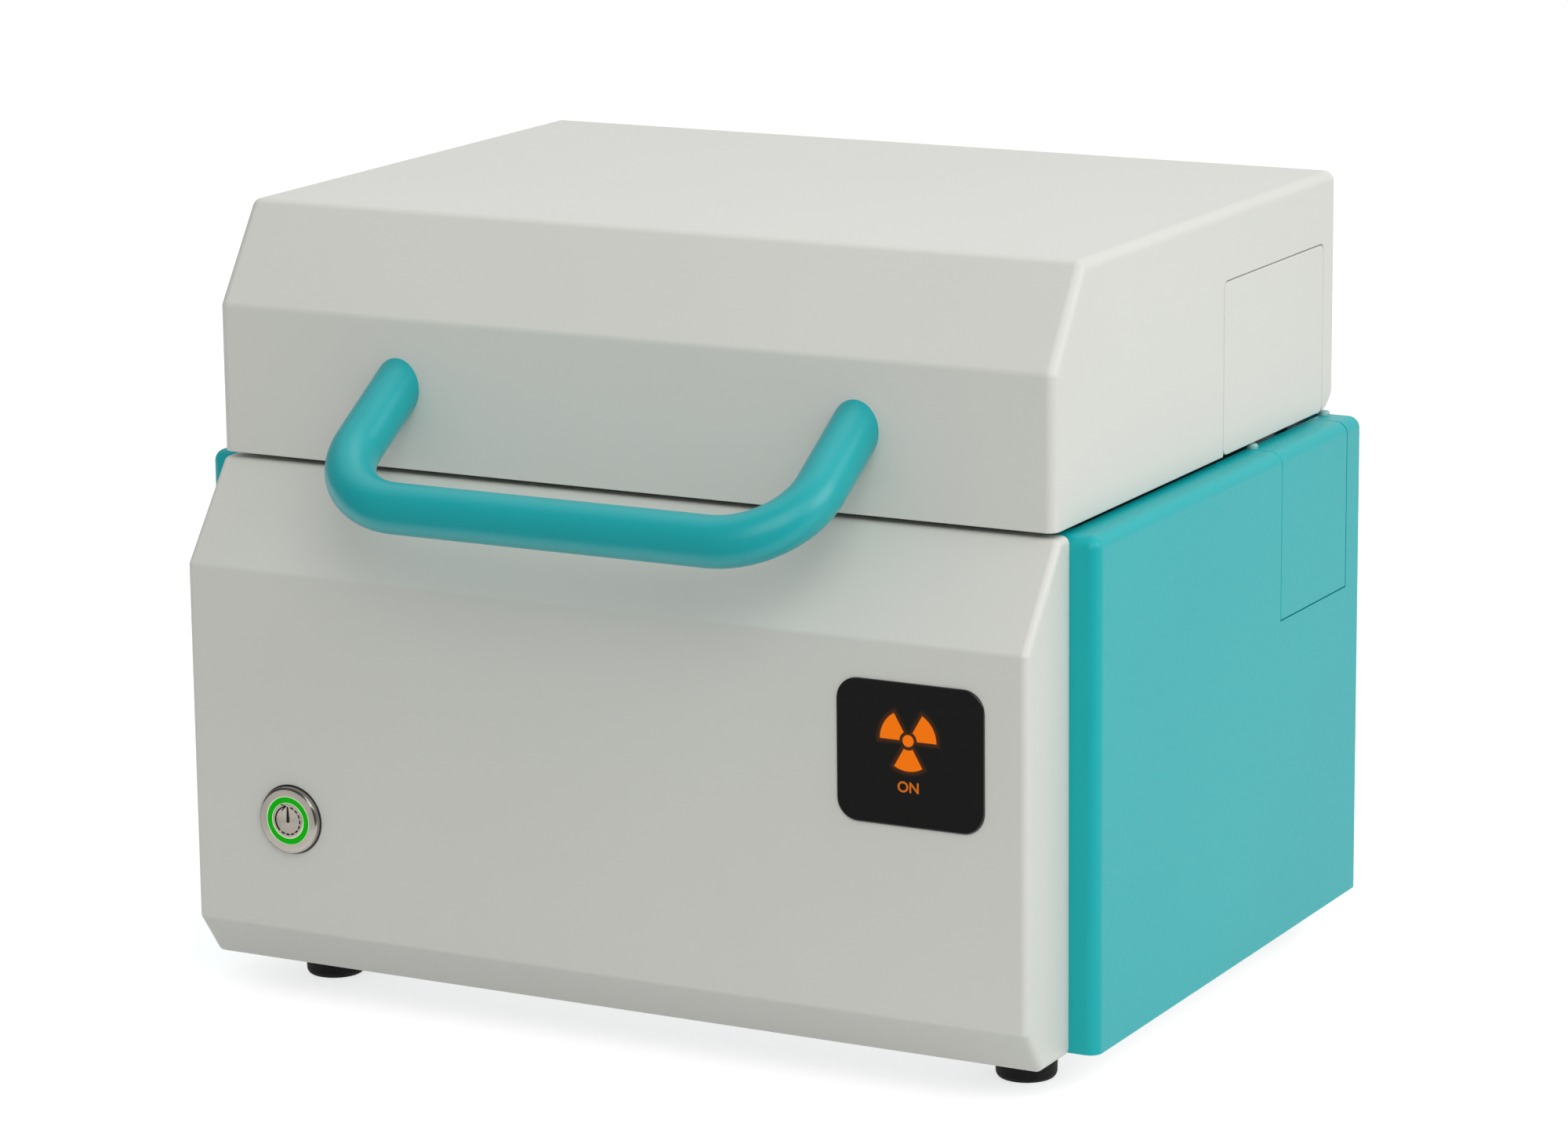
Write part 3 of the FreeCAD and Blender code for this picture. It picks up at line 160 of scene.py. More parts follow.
def turned_metal(name, centre, colours, pitch, relief, roughness):
    """Lathe-turned metal about a -Y axis through `centre`: rings of `pitch` mm, coarser than the
    real feed so that they show. Its gloss is drawn out along the radius."""
    material = finish(name, colours, 5, 0.6, relief, roughness, Metallic=1.0, Anisotropic=0.8)
    tree, surface = material.node_tree, shader_of(material)
    place = add(tree, "ShaderNodeTexCoord").outputs["Object"]
    centred = add(tree, "ShaderNodeMapping", {
        "Vector": place, "Location": tuple(-float(c) for c in centre)})
    flat = add(tree, "ShaderNodeVectorMath", {
        0: centred.outputs["Vector"], 1: (1, 0, 1)}, operation="MULTIPLY")
    radius = add(tree, "ShaderNodeVectorMath", {0: flat.outputs["Vector"]}, operation="LENGTH")
    phase = add(tree, "ShaderNodeMath", {
        0: radius.outputs["Value"], 1: TURN / (pitch * MM)}, operation="MULTIPLY")
    groove = add(tree, "ShaderNodeMath", {0: phase.outputs["Value"]}, operation="SINE")
    bump = add(tree, "ShaderNodeBump", {
        "Height": groove.outputs["Value"], "Distance": relief * MM})
    outward = add(tree, "ShaderNodeVectorMath", {
        0: flat.outputs["Vector"]}, operation="NORMALIZE")
    tree.links.new(bump.outputs["Normal"], surface.inputs["Normal"])
    tree.links.new(outward.outputs["Vector"], surface.inputs["Tangent"])
    return material


def lit(name, colours, cloud, glow, strength, roughness, gloss=0.5):
    """Plastic lit from behind: a skin of some `gloss` plus an even glow of its own."""
    material = finish(name, colours, cloud, 1.2, 0.002, roughness, **{"Specular IOR Level": gloss})
    surface = shader_of(material)
    surface.inputs["Emission Color"].default_value = linear(glow)
    surface.inputs["Emission Strength"].default_value = strength
    return material


def halo(material, centre, reach, blade, glow, strength):
    """Light that bleeds into the plastic round a lit trefoil and fades `reach` mm off it. Off a
    blade is the larger of r - blade radius and r (a - 30 degrees), a from the blade's middle."""
    tree, surface = material.node_tree, shader_of(material)
    place = add(tree, "ShaderNodeTexCoord").outputs["Object"]
    off = add(tree, "ShaderNodeVectorMath", {
        0: place, 1: tuple(float(c) for c in centre)}, operation="SUBTRACT")
    radius = add(tree, "ShaderNodeVectorMath", {0: off.outputs["Vector"]}, operation="LENGTH")
    parts = add(tree, "ShaderNodeSeparateXYZ", {"Vector": off.outputs["Vector"]})
    angle = add(tree, "ShaderNodeMath", {
        0: parts.outputs["Z"], 1: parts.outputs["X"]}, operation="ARCTAN2")
    turned = add(tree, "ShaderNodeMath", {
        0: angle.outputs["Value"], 1: TURN / 12}, operation="SUBTRACT")
    folded = add(tree, "ShaderNodeMath", {
        0: turned.outputs["Value"], 1: TURN / 6}, operation="PINGPONG")
    excess = add(tree, "ShaderNodeMath", {
        0: folded.outputs["Value"], 1: TURN / 12}, operation="SUBTRACT")
    beside = add(tree, "ShaderNodeMath", {
        0: excess.outputs["Value"], 1: radius.outputs["Value"]}, operation="MULTIPLY")
    beyond = add(tree, "ShaderNodeMath", {
        0: radius.outputs["Value"], 1: blade * MM}, operation="SUBTRACT")
    away = add(tree, "ShaderNodeMath", {
        0: beside.outputs["Value"], 1: beyond.outputs["Value"]}, operation="MAXIMUM")
    fade = add(tree, "ShaderNodeMapRange", {
        "Value": away.outputs["Value"], "From Min": 0.0, "From Max": reach * MM,
        "To Min": strength, "To Max": 0.0}, interpolation_type="SMOOTHERSTEP")
    surface.inputs["Emission Color"].default_value = linear(glow)
    tree.links.new(fade.outputs["Result"], surface.inputs["Emission Strength"])


# Shapes
# Directions of a side as (across, up, outwards)
FACING = {
    "front": ((1, 0, 0), (0, 0, 1), (0, -1, 0)),
    "rear": ((-1, 0, 0), (0, 0, 1), (0, 1, 0)),
    "right": ((0, 1, 0), (0, 0, 1), (1, 0, 0)),
    "up": ((1, 0, 0), (0, 1, 0), (0, 0, 1)),
    "down": ((1, 0, 0), (0, -1, 0), (0, 0, -1)),
}
# Height at which a piece that stands on a face starts, just inside it
SEAT = -0.05
# Points of an eased corner
EASED_POINTS = 5
# Angle in degrees from which an edge between two faces is shaded sharp
SHARP = 32
# The same for a construction node, whose faces within the first of these angles are merged into
# one flat, and whose edges beyond the last are broken
FLAT, CREASE, BROKEN = 0.6, 28, 40


def corners_of(name):
    """Lowest and highest corner of a construction node, in millimetres."""
    low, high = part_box(name)
    return np.array(low) / MM, np.array(high) / MM


def face_of(name, axis, end):
    """Middle of a construction node's box, moved along one axis to its low (0) or high (1) face."""
    corners = corners_of(name)
    middle = (corners[0] + corners[1]) / 2
    middle[axis] = corners[end][axis]
    return middle


def laid(points, side, centre):
    """Points given as (across, up, outwards) put on a side of the instrument, about a centre."""
    return np.asarray(centre, float) + points @ np.array(FACING[side], float)


def eased(corners, cut):
    """Open profile with every inner corner b eased by the parabola
    (1-s)^2 a + 2s(1-s) b + s^2 c, where a and c lie `cut` mm before and after it."""
    p = np.array(corners, float)
    cut = np.broadcast_to(np.asarray(cut, float), len(p) - 2)[:, None]
    before, after = p[:-2] - p[1:-1], p[2:] - p[1:-1]
    a = p[1:-1] + before / np.linalg.norm(before, axis=1, keepdims=True) * cut
    c = p[1:-1] + after / np.linalg.norm(after, axis=1, keepdims=True) * cut
    s = np.linspace(0, 1, EASED_POINTS)[None, :, None]
    curve = (1 - s) ** 2 * a[:, None] + 2 * s * (1 - s) * p[1:-1, None] + s ** 2 * c[:, None]
    return np.vstack([p[:1], curve.reshape(-1, 2), p[-1:]])


def capped(grid):
    """Rows of points with one more row at each end, drawn to the middle of the row beside it."""
    ends = [np.broadcast_to(row.mean(axis=0), row.shape)[None] for row in (grid[0], grid[-1])]
    return np.concatenate([ends[0], grid, ends[1]])


def revolved(profile, side, centre, steps):
    """Surface of (radius, height) turned a full circle: x = r cos t, y = r sin t, height
    outwards."""
    profile = np.asarray(profile, float)
    t = np.arange(steps) / steps * TURN
    r, h = profile[:, :1], profile[:, 1:]
    return laid(np.stack([r * np.cos(t), r * np.sin(t), h + 0 * t], axis=-1), side, centre)


def rounded_rectangle(width, height, corner, steps=10):
    """Outline of a rectangle whose corners are quarter circles: corner centre plus
    corner (cos t, sin t)."""
    quarter = np.linspace(0, TURN / 4, steps)
    t = np.concatenate([quarter + k * TURN / 4 for k in range(4)])
    sign = np.repeat([(1, 1), (-1, 1), (-1, -1), (1, -1)], steps, axis=0)
    middle = sign * (width / 2 - corner, height / 2 - corner)
    return middle + corner * np.stack([np.cos(t), np.sin(t)], axis=1)


def lofted(outlines, heights, side, centre):
    """Closed skin through outlines of equal count, one at each height."""
    outlines = np.array(outlines, float)
    h = np.broadcast_to(np.array(heights, float)[:, None, None], outlines.shape[:2] + (1,))
    return laid(capped(np.concatenate([outlines, h], axis=2)), side, centre)


def slab(outline, low, high, side, centre, edge=0.0):
    """Flat piece of an outline from one height to another, its top edge drawn in by `edge`."""
    outline = np.asarray(outline, float)
    middle = outline.mean(axis=0)
    inner = middle + (outline - middle) * (1 - edge / np.abs(outline - middle).max())
    return lofted([outline, outline, inner], [low, high - edge, high], side, centre)


def band(inner, outer, start, end, low, high, side, centre, steps):
    """Ring sector as a solid: the section (r, h), a rectangle, carried from one angle in degrees
    to another as (r cos t, r sin t, h)."""
    t = np.radians(np.linspace(start, end, steps))[:, None]
    r = np.array([inner, outer, outer, inner])
    h = np.array([low, low, high, high])
    grid = np.stack([r * np.cos(t), r * np.sin(t), h + 0 * t], axis=-1)
    return laid(capped(grid), side, centre)


def lettering(text, height, depth, side, centre, tilt=0.0):
    """A word in the built-in typeface as a mesh, centred, `depth` mm thick, laid on a side and
    then tilted about X, in degrees. `offset` makes its strokes a little bolder."""
    curve = bpy.data.curves.new("word", "FONT")
    curve.body, curve.size, curve.extrude, curve.offset = text, 1.0, 0.001, 0.018
    curve.align_x, curve.align_y = "CENTER", "CENTER"
    holder = bpy.data.objects.new("word", curve)
    mesh = bpy.data.meshes.new_from_object(holder)
    flat = np.empty(len(mesh.vertices) * 3)
    mesh.vertices.foreach_get("co", flat)
    flat = flat.reshape(-1, 3)
    scale = height / (flat[:, 1].max() - flat[:, 1].min())
    flat[:, 1] -= (flat[:, 1].max() + flat[:, 1].min()) / 2
    flat[:, :2] *= scale
    flat[:, 2] = np.sign(flat[:, 2]) * depth / 2
    turn = np.array(Matrix.Rotation(math.radians(tilt), 3, "X"))
    placed = laid(flat, side, (0, 0, 0)) @ turn.T + centre
    mesh.vertices.foreach_set("co", (placed * MM).ravel())
    bpy.data.objects.remove(holder)
    bpy.data.curves.remove(curve)
    return mesh


def tidy_mesh(mesh, sharp):
    """Merges doubles, turns faces outwards and shades smooth up to an angle in degrees."""
    work = bmesh.new()
    work.from_mesh(mesh)
    bmesh.ops.remove_doubles(work, verts=work.verts, dist=1e-7)
    bmesh.ops.dissolve_degenerate(work, edges=work.edges, dist=1e-8)
    bmesh.ops.recalc_face_normals(work, faces=work.faces)
    work.to_mesh(mesh)
    work.free()
    mesh.shade_smooth()
    mesh.set_sharp_from_angle(angle=math.radians(sharp))
    return mesh


def settle(piece, material, body, stands_for):
    """Links a piece, gives it its material and even shading, hides the construction nodes it stands
    for, and hangs it on the body it rides on.
    """
    bpy.context.scene.collection.objects.link(piece)
    piece.data.materials.clear()
    piece.data.materials.append(material)
    weighted = piece.modifiers.new("even_shading", "WEIGHTED_NORMAL")
    weighted.keep_sharp = True
    if stands_for:
        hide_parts(*stands_for)
    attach(piece, body)


def piece_of(name, grids, material, body, stands_for=(), sharp=SHARP):
    """One object from closed grids of points: quads join each row of points to the next, rows
    wrap."""
    points, quads, start = [], [], 0
    for grid in grids:
        rows, columns = grid.shape[:2]
        index = start + np.arange(rows * columns).reshape(rows, columns)
        beside = np.roll(index, -1, axis=1)
        quad = np.stack([index[:-1], beside[:-1], beside[1:], index[1:]], axis=-1)
        quads.append(quad.reshape(-1, 4))
        points.append(grid.reshape(-1, 3))
        start += rows * columns
    mesh = bpy.data.meshes.new(name)
    mesh.from_pydata(np.concatenate(points) * MM, [], np.concatenate(quads).tolist())
    piece = bpy.data.objects.new(name, tidy_mesh(mesh, sharp))
    settle(piece, material, body, stands_for)


def word_piece(name, meshes, material, body):
    """One object from meshes of lettering."""
    work = bmesh.new()
    for mesh in meshes:
        work.from_mesh(mesh)
        bpy.data.meshes.remove(mesh)
    joined = bpy.data.meshes.new(name)
    work.to_mesh(joined)
    work.free()
    piece = bpy.data.objects.new(name, tidy_mesh(joined, SHARP))
    settle(piece, material, body, ())


def dressed(node, material, body, edge, room=0.0):
    """Copy of a construction node with its triangles merged into flats and its sharp edges broken
    by `edge` mm, as a deburred or moulded edge is. A piece that turns against a face is drawn in
    by `room` mm about its middle m: p + (m - p) room / half its longest side."""
    mesh = nodes[node].data.copy()
    mesh.name = node + "_dressed"
    work = bmesh.new()
    work.from_mesh(mesh)
    bmesh.ops.remove_doubles(work, verts=work.verts, dist=2e-6)
    bmesh.ops.dissolve_limit(
        work, angle_limit=math.radians(FLAT), use_dissolve_boundaries=False,
        verts=work.verts, edges=work.edges)
    points = np.array([vertex.co for vertex in work.verts])
    low, high = points.min(axis=0), points.max(axis=0)
    shrink = room * MM / ((high - low).max() / 2)
    for vertex, point in zip(work.verts, points):
        vertex.co = point + ((low + high) / 2 - point) * shrink
    work.to_mesh(mesh)
    work.free()
    if "custom_normal" in mesh.attributes:
        mesh.attributes.remove(mesh.attributes["custom_normal"])
    mesh.shade_smooth()
    mesh.set_sharp_from_angle(angle=math.radians(CREASE))
    piece = bpy.data.objects.new(node + "_dressed", mesh)
    if edge:
        bevel = piece.modifiers.new("broken_edges", "BEVEL")
        bevel.width = edge * MM
        bevel.segments = 2
        bevel.limit_method = "ANGLE"
        bevel.angle_limit = math.radians(BROKEN)
        bevel.use_clamp_overlap = True
    settle(piece, material, body, (node,))


# Carry handle: tube swept along a wide U, cut flush where it meets the lid
def make_handle():
    """Centre line c(s): leg, quarter circle, grip, quarter circle, leg, in a plane tilted about X.
    Ring at s: c + r (cos t side(s) + sin t n), with n the normal of the plane. The two end rings
    slide along their legs into the plane of the lid's front edge."""
    radius, bend, tilt = 8.0, 26.1, math.radians(31.5)
    height_on_lid = 25.9
    leg_points, bend_points, grip_points, round_points = 6, 19, 7, 48
    low, high = corners_of("carry_handle")
    lid_low = corners_of("lid_shell")[0]
    half = (high[0] - low[0]) / 2 - radius
    reach = (high[1] - low[1] - radius) / math.cos(tilt)
    quarter = np.linspace(0, TURN / 4, bend_points)
    left = np.stack([
        -half + bend * (1 - np.cos(quarter)), -reach + bend * (1 - np.sin(quarter))], axis=1)
    leg = np.stack([
        np.full(leg_points, -half), np.linspace(0, -reach + bend, leg_points + 1)[:-1]], axis=1)
    run = np.concatenate([leg, left])
    across = np.linspace(run[-1, 0], -run[-1, 0], grip_points + 2)[1:-1]
    grip = np.stack([across, np.full(grip_points, -reach)], axis=1)
    line = np.concatenate([run, grip, run[::-1] * (-1, 1)])
    ahead = np.gradient(line, axis=0)
    ahead /= np.linalg.norm(ahead, axis=1, keepdims=True)
    side = np.stack([ahead[:, 1], -ahead[:, 0]], axis=1)
    t = np.arange(round_points) / round_points * TURN
    flat = line[:, None] + radius * np.cos(t)[None, :, None] * side[:, None]
    off = np.broadcast_to(radius * np.sin(t), flat.shape[:2])
    grid = np.stack([
        flat[..., 0],
        lid_low[1] + flat[..., 1] * math.cos(tilt) - off * math.sin(tilt),
        lid_low[2] + height_on_lid + flat[..., 1] * math.sin(tilt) + off * math.cos(tilt)],
        axis=-1)
    slide = (lid_low[1] - grid[[0, -1], :, 1]) / math.cos(tilt)
    grid[[0, -1]] += slide[..., None] * np.array((0, math.cos(tilt), math.sin(tilt)))
    # The tube takes the teal that is painted darker for the shade on the handle
    piece_of(
        "handle_tube", [capped(grid)], SHADED_TUBE_TEAL, "lid", ("carry_handle",),
        sharp=50)


# Push button, about one axis that points out of the fascia. Its profiles are (radius, height)
# from the face of the bezel, and this is the height of the fascia's skin
FASCIA_SKIN = -2.2
# Steps of a full turn
BUTTON_STEPS = 96


def make_bezel(centre):
    """Turned bezel with its barrel, the polished rim round it, painted darker for the shade along
    its edge, and a thin seal on the fascia.
    """
    bore, bore_depth, flat_edge, skirt, barrel = 7.88, -11, 10.1, 10.3, 9.4
    low, high = corners_of("button_bezel")
    depth = high[1] - low[1]
    steel = turned_metal(
        "turned_stainless", centre * MM, ("DCD5CA", "E4DED3"), 0.5, 0.004, (0.3, 0.38))
    bezel = eased([
        (bore, bore_depth), (bore, 0), (flat_edge, 0), (skirt, -0.6), (skirt, FASCIA_SKIN),
        (barrel, FASCIA_SKIN), (barrel, 0.4 - depth), (9.0, -depth), (0, -depth)],
        (0.12, 0.1, 0.15, 0.05, 0.05, 0.1, 0.1))
    bezel = np.vstack([[(0, bore_depth)], bezel])
    piece_of(
        "bezel_turned", [revolved(bezel, "front", centre, BUTTON_STEPS)], steel, "base",
        ("button_bezel",), 24)
    rim_back = (flat_edge, -1.0)
    rim = [rim_back, *eased([
        (flat_edge, -0.3), (flat_edge, 0), (10.8, -0.5), (11, FASCIA_SKIN),
        (flat_edge, FASCIA_SKIN)], (0.1, 0.2, 0.03)), rim_back]
    # The rim's steel is painted darker, for the shade and reflection along the bezel's edge
    piece_of("bezel_rim", [revolved(rim, "front", centre, BUTTON_STEPS)], RIM_STEEL_PAINTED_SHADE, "base")
    seal = [
        (10.6, FASCIA_SKIN), (10.6, -1.9), (11.15, -1.9), (11.35, FASCIA_SKIN),
        (10.6, FASCIA_SKIN)]
    piece_of("button_seal", [revolved(seal, "front", centre, BUTTON_STEPS)], NYLON, "base")


def make_light_ring(centre):
    """Lit ring between the bezel and the cap, with a clear rim along each of its edges, whose pale
    glow paints the highlight on that edge.
    """
    inner, outer, foot = 5.76, 7.84, 0.4
    glow = lit("lit_diffuser", ("045E04", "066A06"), 4, "009E00", 0.8, (0.35, 0.45), 0.15)
    # Rims of clear plastic lit from behind, whose pale glow also paints the highlight along the
    # ring's edges
    clear = lit("diffuser_rim_painted_highlight", ("C4D8BC", "D0E4C8"), 4, "B4E4A4", 0.5, (0.2, 0.3))
    low, high = corners_of("button_light_ring")
    face, back = centre[1] - low[1], centre[1] - high[1]
    ring = eased([
        (inner + foot, back), (inner, back), (inner, face), (outer, face), (outer, back),
        (inner + foot, back)], (0.05, 0.14, 0.14, 0.05))
    piece_of(
        "light_ring_moulded", [revolved(ring, "front", centre, BUTTON_STEPS)], glow, "base",
        ("button_light_ring",))
    under, over = -3, 0.01
    edges = [
        eased([(a, under), (a, over), (b, over), (b, under)], 0.04)
        for a, b in ((5.75, 5.86), (7.74, 7.85))]
    edges = [np.vstack([edge, edge[:1]]) for edge in edges]
    piece_of(
        "light_ring_rims_painted_highlight", [revolved(edge, "front", centre, BUTTON_STEPS) for edge in edges],
        clear, "base")


def make_cap(centre):
    """Turned cap with a face dished by -d (1 - s^2), s from its middle to its edge, and on it the
    laser mark: an arc with an arrowhead, nine dashes that close its circle, and a hand."""
    radius, flat_edge, dish_depth = 5.72, 5.4, 0.12
    low, high = corners_of("button_cap")
    length = high[1] - low[1]
    steel = turned_metal(
        "turned_cap_steel", centre * MM, ("DED4C7", "E4DBCF"), 0.35, 0.005, (0.3, 0.4))
    s = np.linspace(0, 1, 12)[:, None]
    dish = np.hstack([flat_edge * s, -dish_depth * (1 - s ** 2)])
    wall = eased([(5.5, 0), (radius, -0.02), (radius, -length), (0, -length)], (0.12, 0.05))
    piece_of(
        "cap_turned", [revolved(np.vstack([dish, wall[1:]]), "front", centre, BUTTON_STEPS)],
        steel, "button", ("button_cap",))
    under, over = -0.3, 0.03
    marks = [band(4.3, 4.82, 98, 228, under, over, "front", centre, 30)]
    marks += [
        band(4.28, 4.76, middle - 8, middle + 8, under, over, "front", centre, 5)
        for middle in np.linspace(69, -114, 9)]
    strokes = [
        [(-0.52, -0.6), (0.52, -0.6), (0.25, 4.55), (-0.25, 4.55)],
        [(-0.35, 4.75), (-0.5, 4.42), (-2.55, 4.92), (-2.45, 5.24)],
        [(-0.33, 4.73), (-0.62, 4.9), (-2.3, 3.2), (-2.02, 2.98)]]
    marks += [slab(stroke, under, over, "front", centre) for stroke in strokes]
    piece_of("cap_mark", marks, LASER_MARK, "button")


# Indicator lamp
def make_lamp():
    """Gloss window whose edge is eased by the quarter circle (e (1 - sin t), e cos t), and behind
    its skin a lit trefoil with a word below."""
    corner, edge, plug = 7.0, 0.55, 2.86
    mark_x, trefoil_z, word_z = 108.9, 115.3, 101.0
    under, over = -0.2, 0.02
    low, high = corners_of("lamp_window")
    fascia = corners_of("front_fascia")[0][1]
    centre = face_of("lamp_window", 1, 0)
    centre[1] = fascia
    width, height, proud = high[0] - low[0], high[2] - low[2], fascia - low[1]
    s = np.linspace(0, 1, 6)
    inset = edge * (1 - np.sin(s * TURN / 4))
    rise = proud - edge + edge * np.cos(s * TURN / 4)
    insets = [plug, plug, 0, *inset[::-1]]
    outlines = [rounded_rectangle(width - 2 * i, height - 2 * i, corner - i) for i in insets]
    heights = [fascia - high[1], 0, 0, *rise[::-1]]
    piece_of(
        "lamp_window_polished", [lofted(outlines, heights, "front", centre)], ACRYLIC, "base",
        ("lamp_window",))
    orange = lit("lit_orange", ("2A1000", "321400"), 6, "EA7000", 1.0, (0.12, 0.2))
    dim = lit("lit_orange_word", ("2A1200", "301400"), 4, "C4640E", 1.0, (0.12, 0.2))
    hub = np.array((mark_x, low[1], trefoil_z))
    disc_radius, blade_root, blade = 1.85, 2.9, 9.4
    shapes = [
        band(blade_root, blade, middle - 30, middle + 30, under, over, "front", hub, 24)
        for middle in (-90, 30, 150)]
    disc = [(0, under), (disc_radius, under), (disc_radius, over), (0, over)]
    shapes.append(revolved(disc, "front", hub, 40))
    piece_of("lamp_trefoil", shapes, orange, "base")
    halo(ACRYLIC, hub * MM, reach=2.0, blade=blade, glow="B86400", strength=0.09)
    word = lettering("ON", 3.4, 0.04, "front", (mark_x, low[1], word_z))
    word_piece("lamp_word", [word], dim, "base")


# Button-head screws: radius and height of the head, and half the socket's width across flats
SCREWS = {
    "foot": (3.8, 2.4, 1.9),
    "base": (2.8, 1.4, 1.4),
    "panel": (2.6, 1.5, 1.3),
    "fan": (3.2, 1.3, 1.5),
    "board": (2.7, 1.6, 1.2),
    "generator": (2.4, 1.4, 1.1),
    "terminal": (2.6, 1.4, 1.2),
}


def screw(kind, centre, side):
    """Button-head screw: a low dome r = head sin a, h = height cos a, with a hexagonal socket sunk
    into its middle."""
    head, height, socket = SCREWS[kind]
    t = np.arange(36) / 36 * TURN
    circle = np.stack([np.cos(t), np.sin(t)], axis=1)
    sixth = TURN / 6
    hexagon = circle / np.cos((t % sixth) - sixth / 2)[:, None] * socket
    a = np.radians((38, 60, 78, 90))
    brim = height * math.cos(math.radians(32))
    # From the socket's floor to its brim, down the dome, and to the shank inside the part
    outlines = [hexagon, hexagon, *(circle * head * math.sin(b) for b in a), circle * head * 0.5]
    heights = [height * 0.3, brim, *(height * math.cos(b) for b in a), -1.2]
    return lofted(outlines, heights, side, centre)


def grid_of(low, high, inset):
    """The four corners of a rectangle drawn in by `inset`, as pairs."""
    return [(a, b) for a in (low[0] + inset, high[0] - inset)
            for b in (low[1] + inset, high[1] - inset)]


# Feet, bumpers and fasteners
def make_feet():
    """Each foot is a turned rubber buffer with a sunk screw; corners come from the construction.
    A bumper is the dome (w cos(s) ** 0.6, h (0.35 + 0.65 sin s))."""
    radius, bore_depth = 9.8, 6.0
    low, high = corners_of("rubber_feet")
    tall = high[2] - low[2]
    profile = eased([
        (0, bore_depth), (4.6, bore_depth), (4.9, 0.0), (8.7, 0.0), (9.55, 1.1),
        (radius, tall - 1.2), (radius - 0.7, tall), (0, tall)], (0.4, 0.35, 0.5, 0.8, 0.5, 0.4))
    profile[:, 1] = -profile[:, 1]
    places = grid_of(low, high, radius)
    piece_of(
        "feet_moulded", [revolved(profile, "down", (x, y, low[2]), 64) for x, y in places],
        RUBBER, "base", ("rubber_feet",))
    piece_of("feet_screws", [
        screw("foot", (x, y, low[2] + bore_depth), "down") for x, y in places], ZINC, "base")
    # Radius of a bumper in the construction, and the radius that its dome shows
    built_radius, wide = 3.0, 2.0
    low, high = corners_of("lid_bumpers")
    tall = high[2] - low[2]
    s = np.linspace(0, TURN / 4, 9)
    dome = np.stack([wide * np.cos(s) ** 0.6, tall * 0.35 + tall * 0.65 * np.sin(s)], axis=1)
    dome = np.vstack([[(0, 0), (wide * 0.97, 0)], dome])
    dome[-1, 0] = 0
    piece_of("bumpers_cast", [
        revolved(dome, "up", (x, y, low[2]), 40) for x, y in grid_of(low, high, built_radius)],
        URETHANE, "base", ("lid_bumpers",))


def make_fasteners():
    """Small screws of the rear panel, the fan and the base plate."""
    side_inset, end_inset, panel_inset, fan_inset = 6, 9, 9.5, 5.0
    low, high = corners_of("base_plate")
    rows = np.linspace(low[1] + end_inset, high[1] - end_inset, 3)
    piece_of("base_screws", [
        screw("base", (x, y, low[2]), "down")
        for x in (low[0] + side_inset, high[0] - side_inset) for y in rows], ZINC, "base")
    low, high = corners_of("connector_panel")
    piece_of("panel_screws", [
        screw("panel", (x, high[1], z), "rear")
        for x, z in grid_of(low[::2], high[::2], panel_inset)], ZINC, "base")
    low, high = corners_of("fan_frame")
    wall = corners_of("rear_housing")[1][1]
    piece_of("fan_screws", [
        screw("fan", (x, wall, z), "rear")
        for x, z in grid_of(low[::2], high[::2], fan_inset)], ZINC, "base")


# Rear connectors and fan
def make_rocker_marks():
    """The two marks of the mains switch. The rocker's face is a shallow V whose halves lean by
    14.8 degrees. A mark lies on it, `out` off the axle and `up` or down from the fold, and the
    whole is turned by the rocker's tilt at rest."""
    tilt, lean, out, up = 8.0, 14.8, 4.7, 3.6
    cos, sin = math.cos(math.radians(tilt)), math.sin(math.radians(tilt))
    # The axle's depth counts from the inside of the rear wall, which lies behind the panel's front
    wall_behind, axle_depth, axle_height = 2.0, 3.75, 48.0
    wall = corners_of("connector_panel")[0][1] + wall_behind
    axle = np.array((face_of("switch_rocker", 1, 1)[0], wall - axle_depth, axle_height))
    words = []
    for word, z, slant in (("I", up, -lean), ("O", -up, lean)):
        spot = axle + (0, out * cos - z * sin, out * sin + z * cos)
        words.append(lettering(word, 3.6, 0.05, "rear", spot, slant + tilt))
    word_piece("rocker_marks", words, PRINT, "rocker")


def make_ports():
    """Tongue, back wall and contacts of the two sockets. Heights count from a socket's mouth."""
    edge = 0.2
    face = face_of("usb_port", 1, 1)
    piece_of("usb_tongue", [
        slab(rounded_rectangle(11.0, 1.8, 0.3), -14, -1.2, "rear", face + (0, 0, 0.9), edge),
        slab(rounded_rectangle(11.9, 4.5, 0.3), -15, -12.5, "rear", face, edge)], NYLON, "base")
    piece_of("usb_contacts", [
        slab(rounded_rectangle(1.0, 0.12, 0.05), -9, -1.8, "rear", face + (x, 0, -0.06))
        for x in (-3.6, -1.2, 1.2, 3.6)], BRASS, "base")
    face = face_of("network_port", 1, 1)
    cheeks = [
        slab(rounded_rectangle(2.6, 11.9, 0.3), -12, -0.6, "rear", face + (x, 0, 0), edge)
        for x in (-5.9, 5.9)]
    piece_of("network_insert", [
        slab(rounded_rectangle(14.5, 11.9, 0.4), -15, -11.5, "rear", face, edge),
        slab(rounded_rectangle(14.5, 1.6, 0.3), -12, -0.6, "rear", face + (0, 0, 5.1), edge),
        *cheeks], NYLON, "base")
    piece_of("network_contacts", [
        slab(rounded_rectangle(0.5, 0.3, 0.1), -10, -2.2, "rear", face + (x, 0, 4.1))
        for x in np.linspace(-3.57, 3.57, 8)], BRASS, "base")


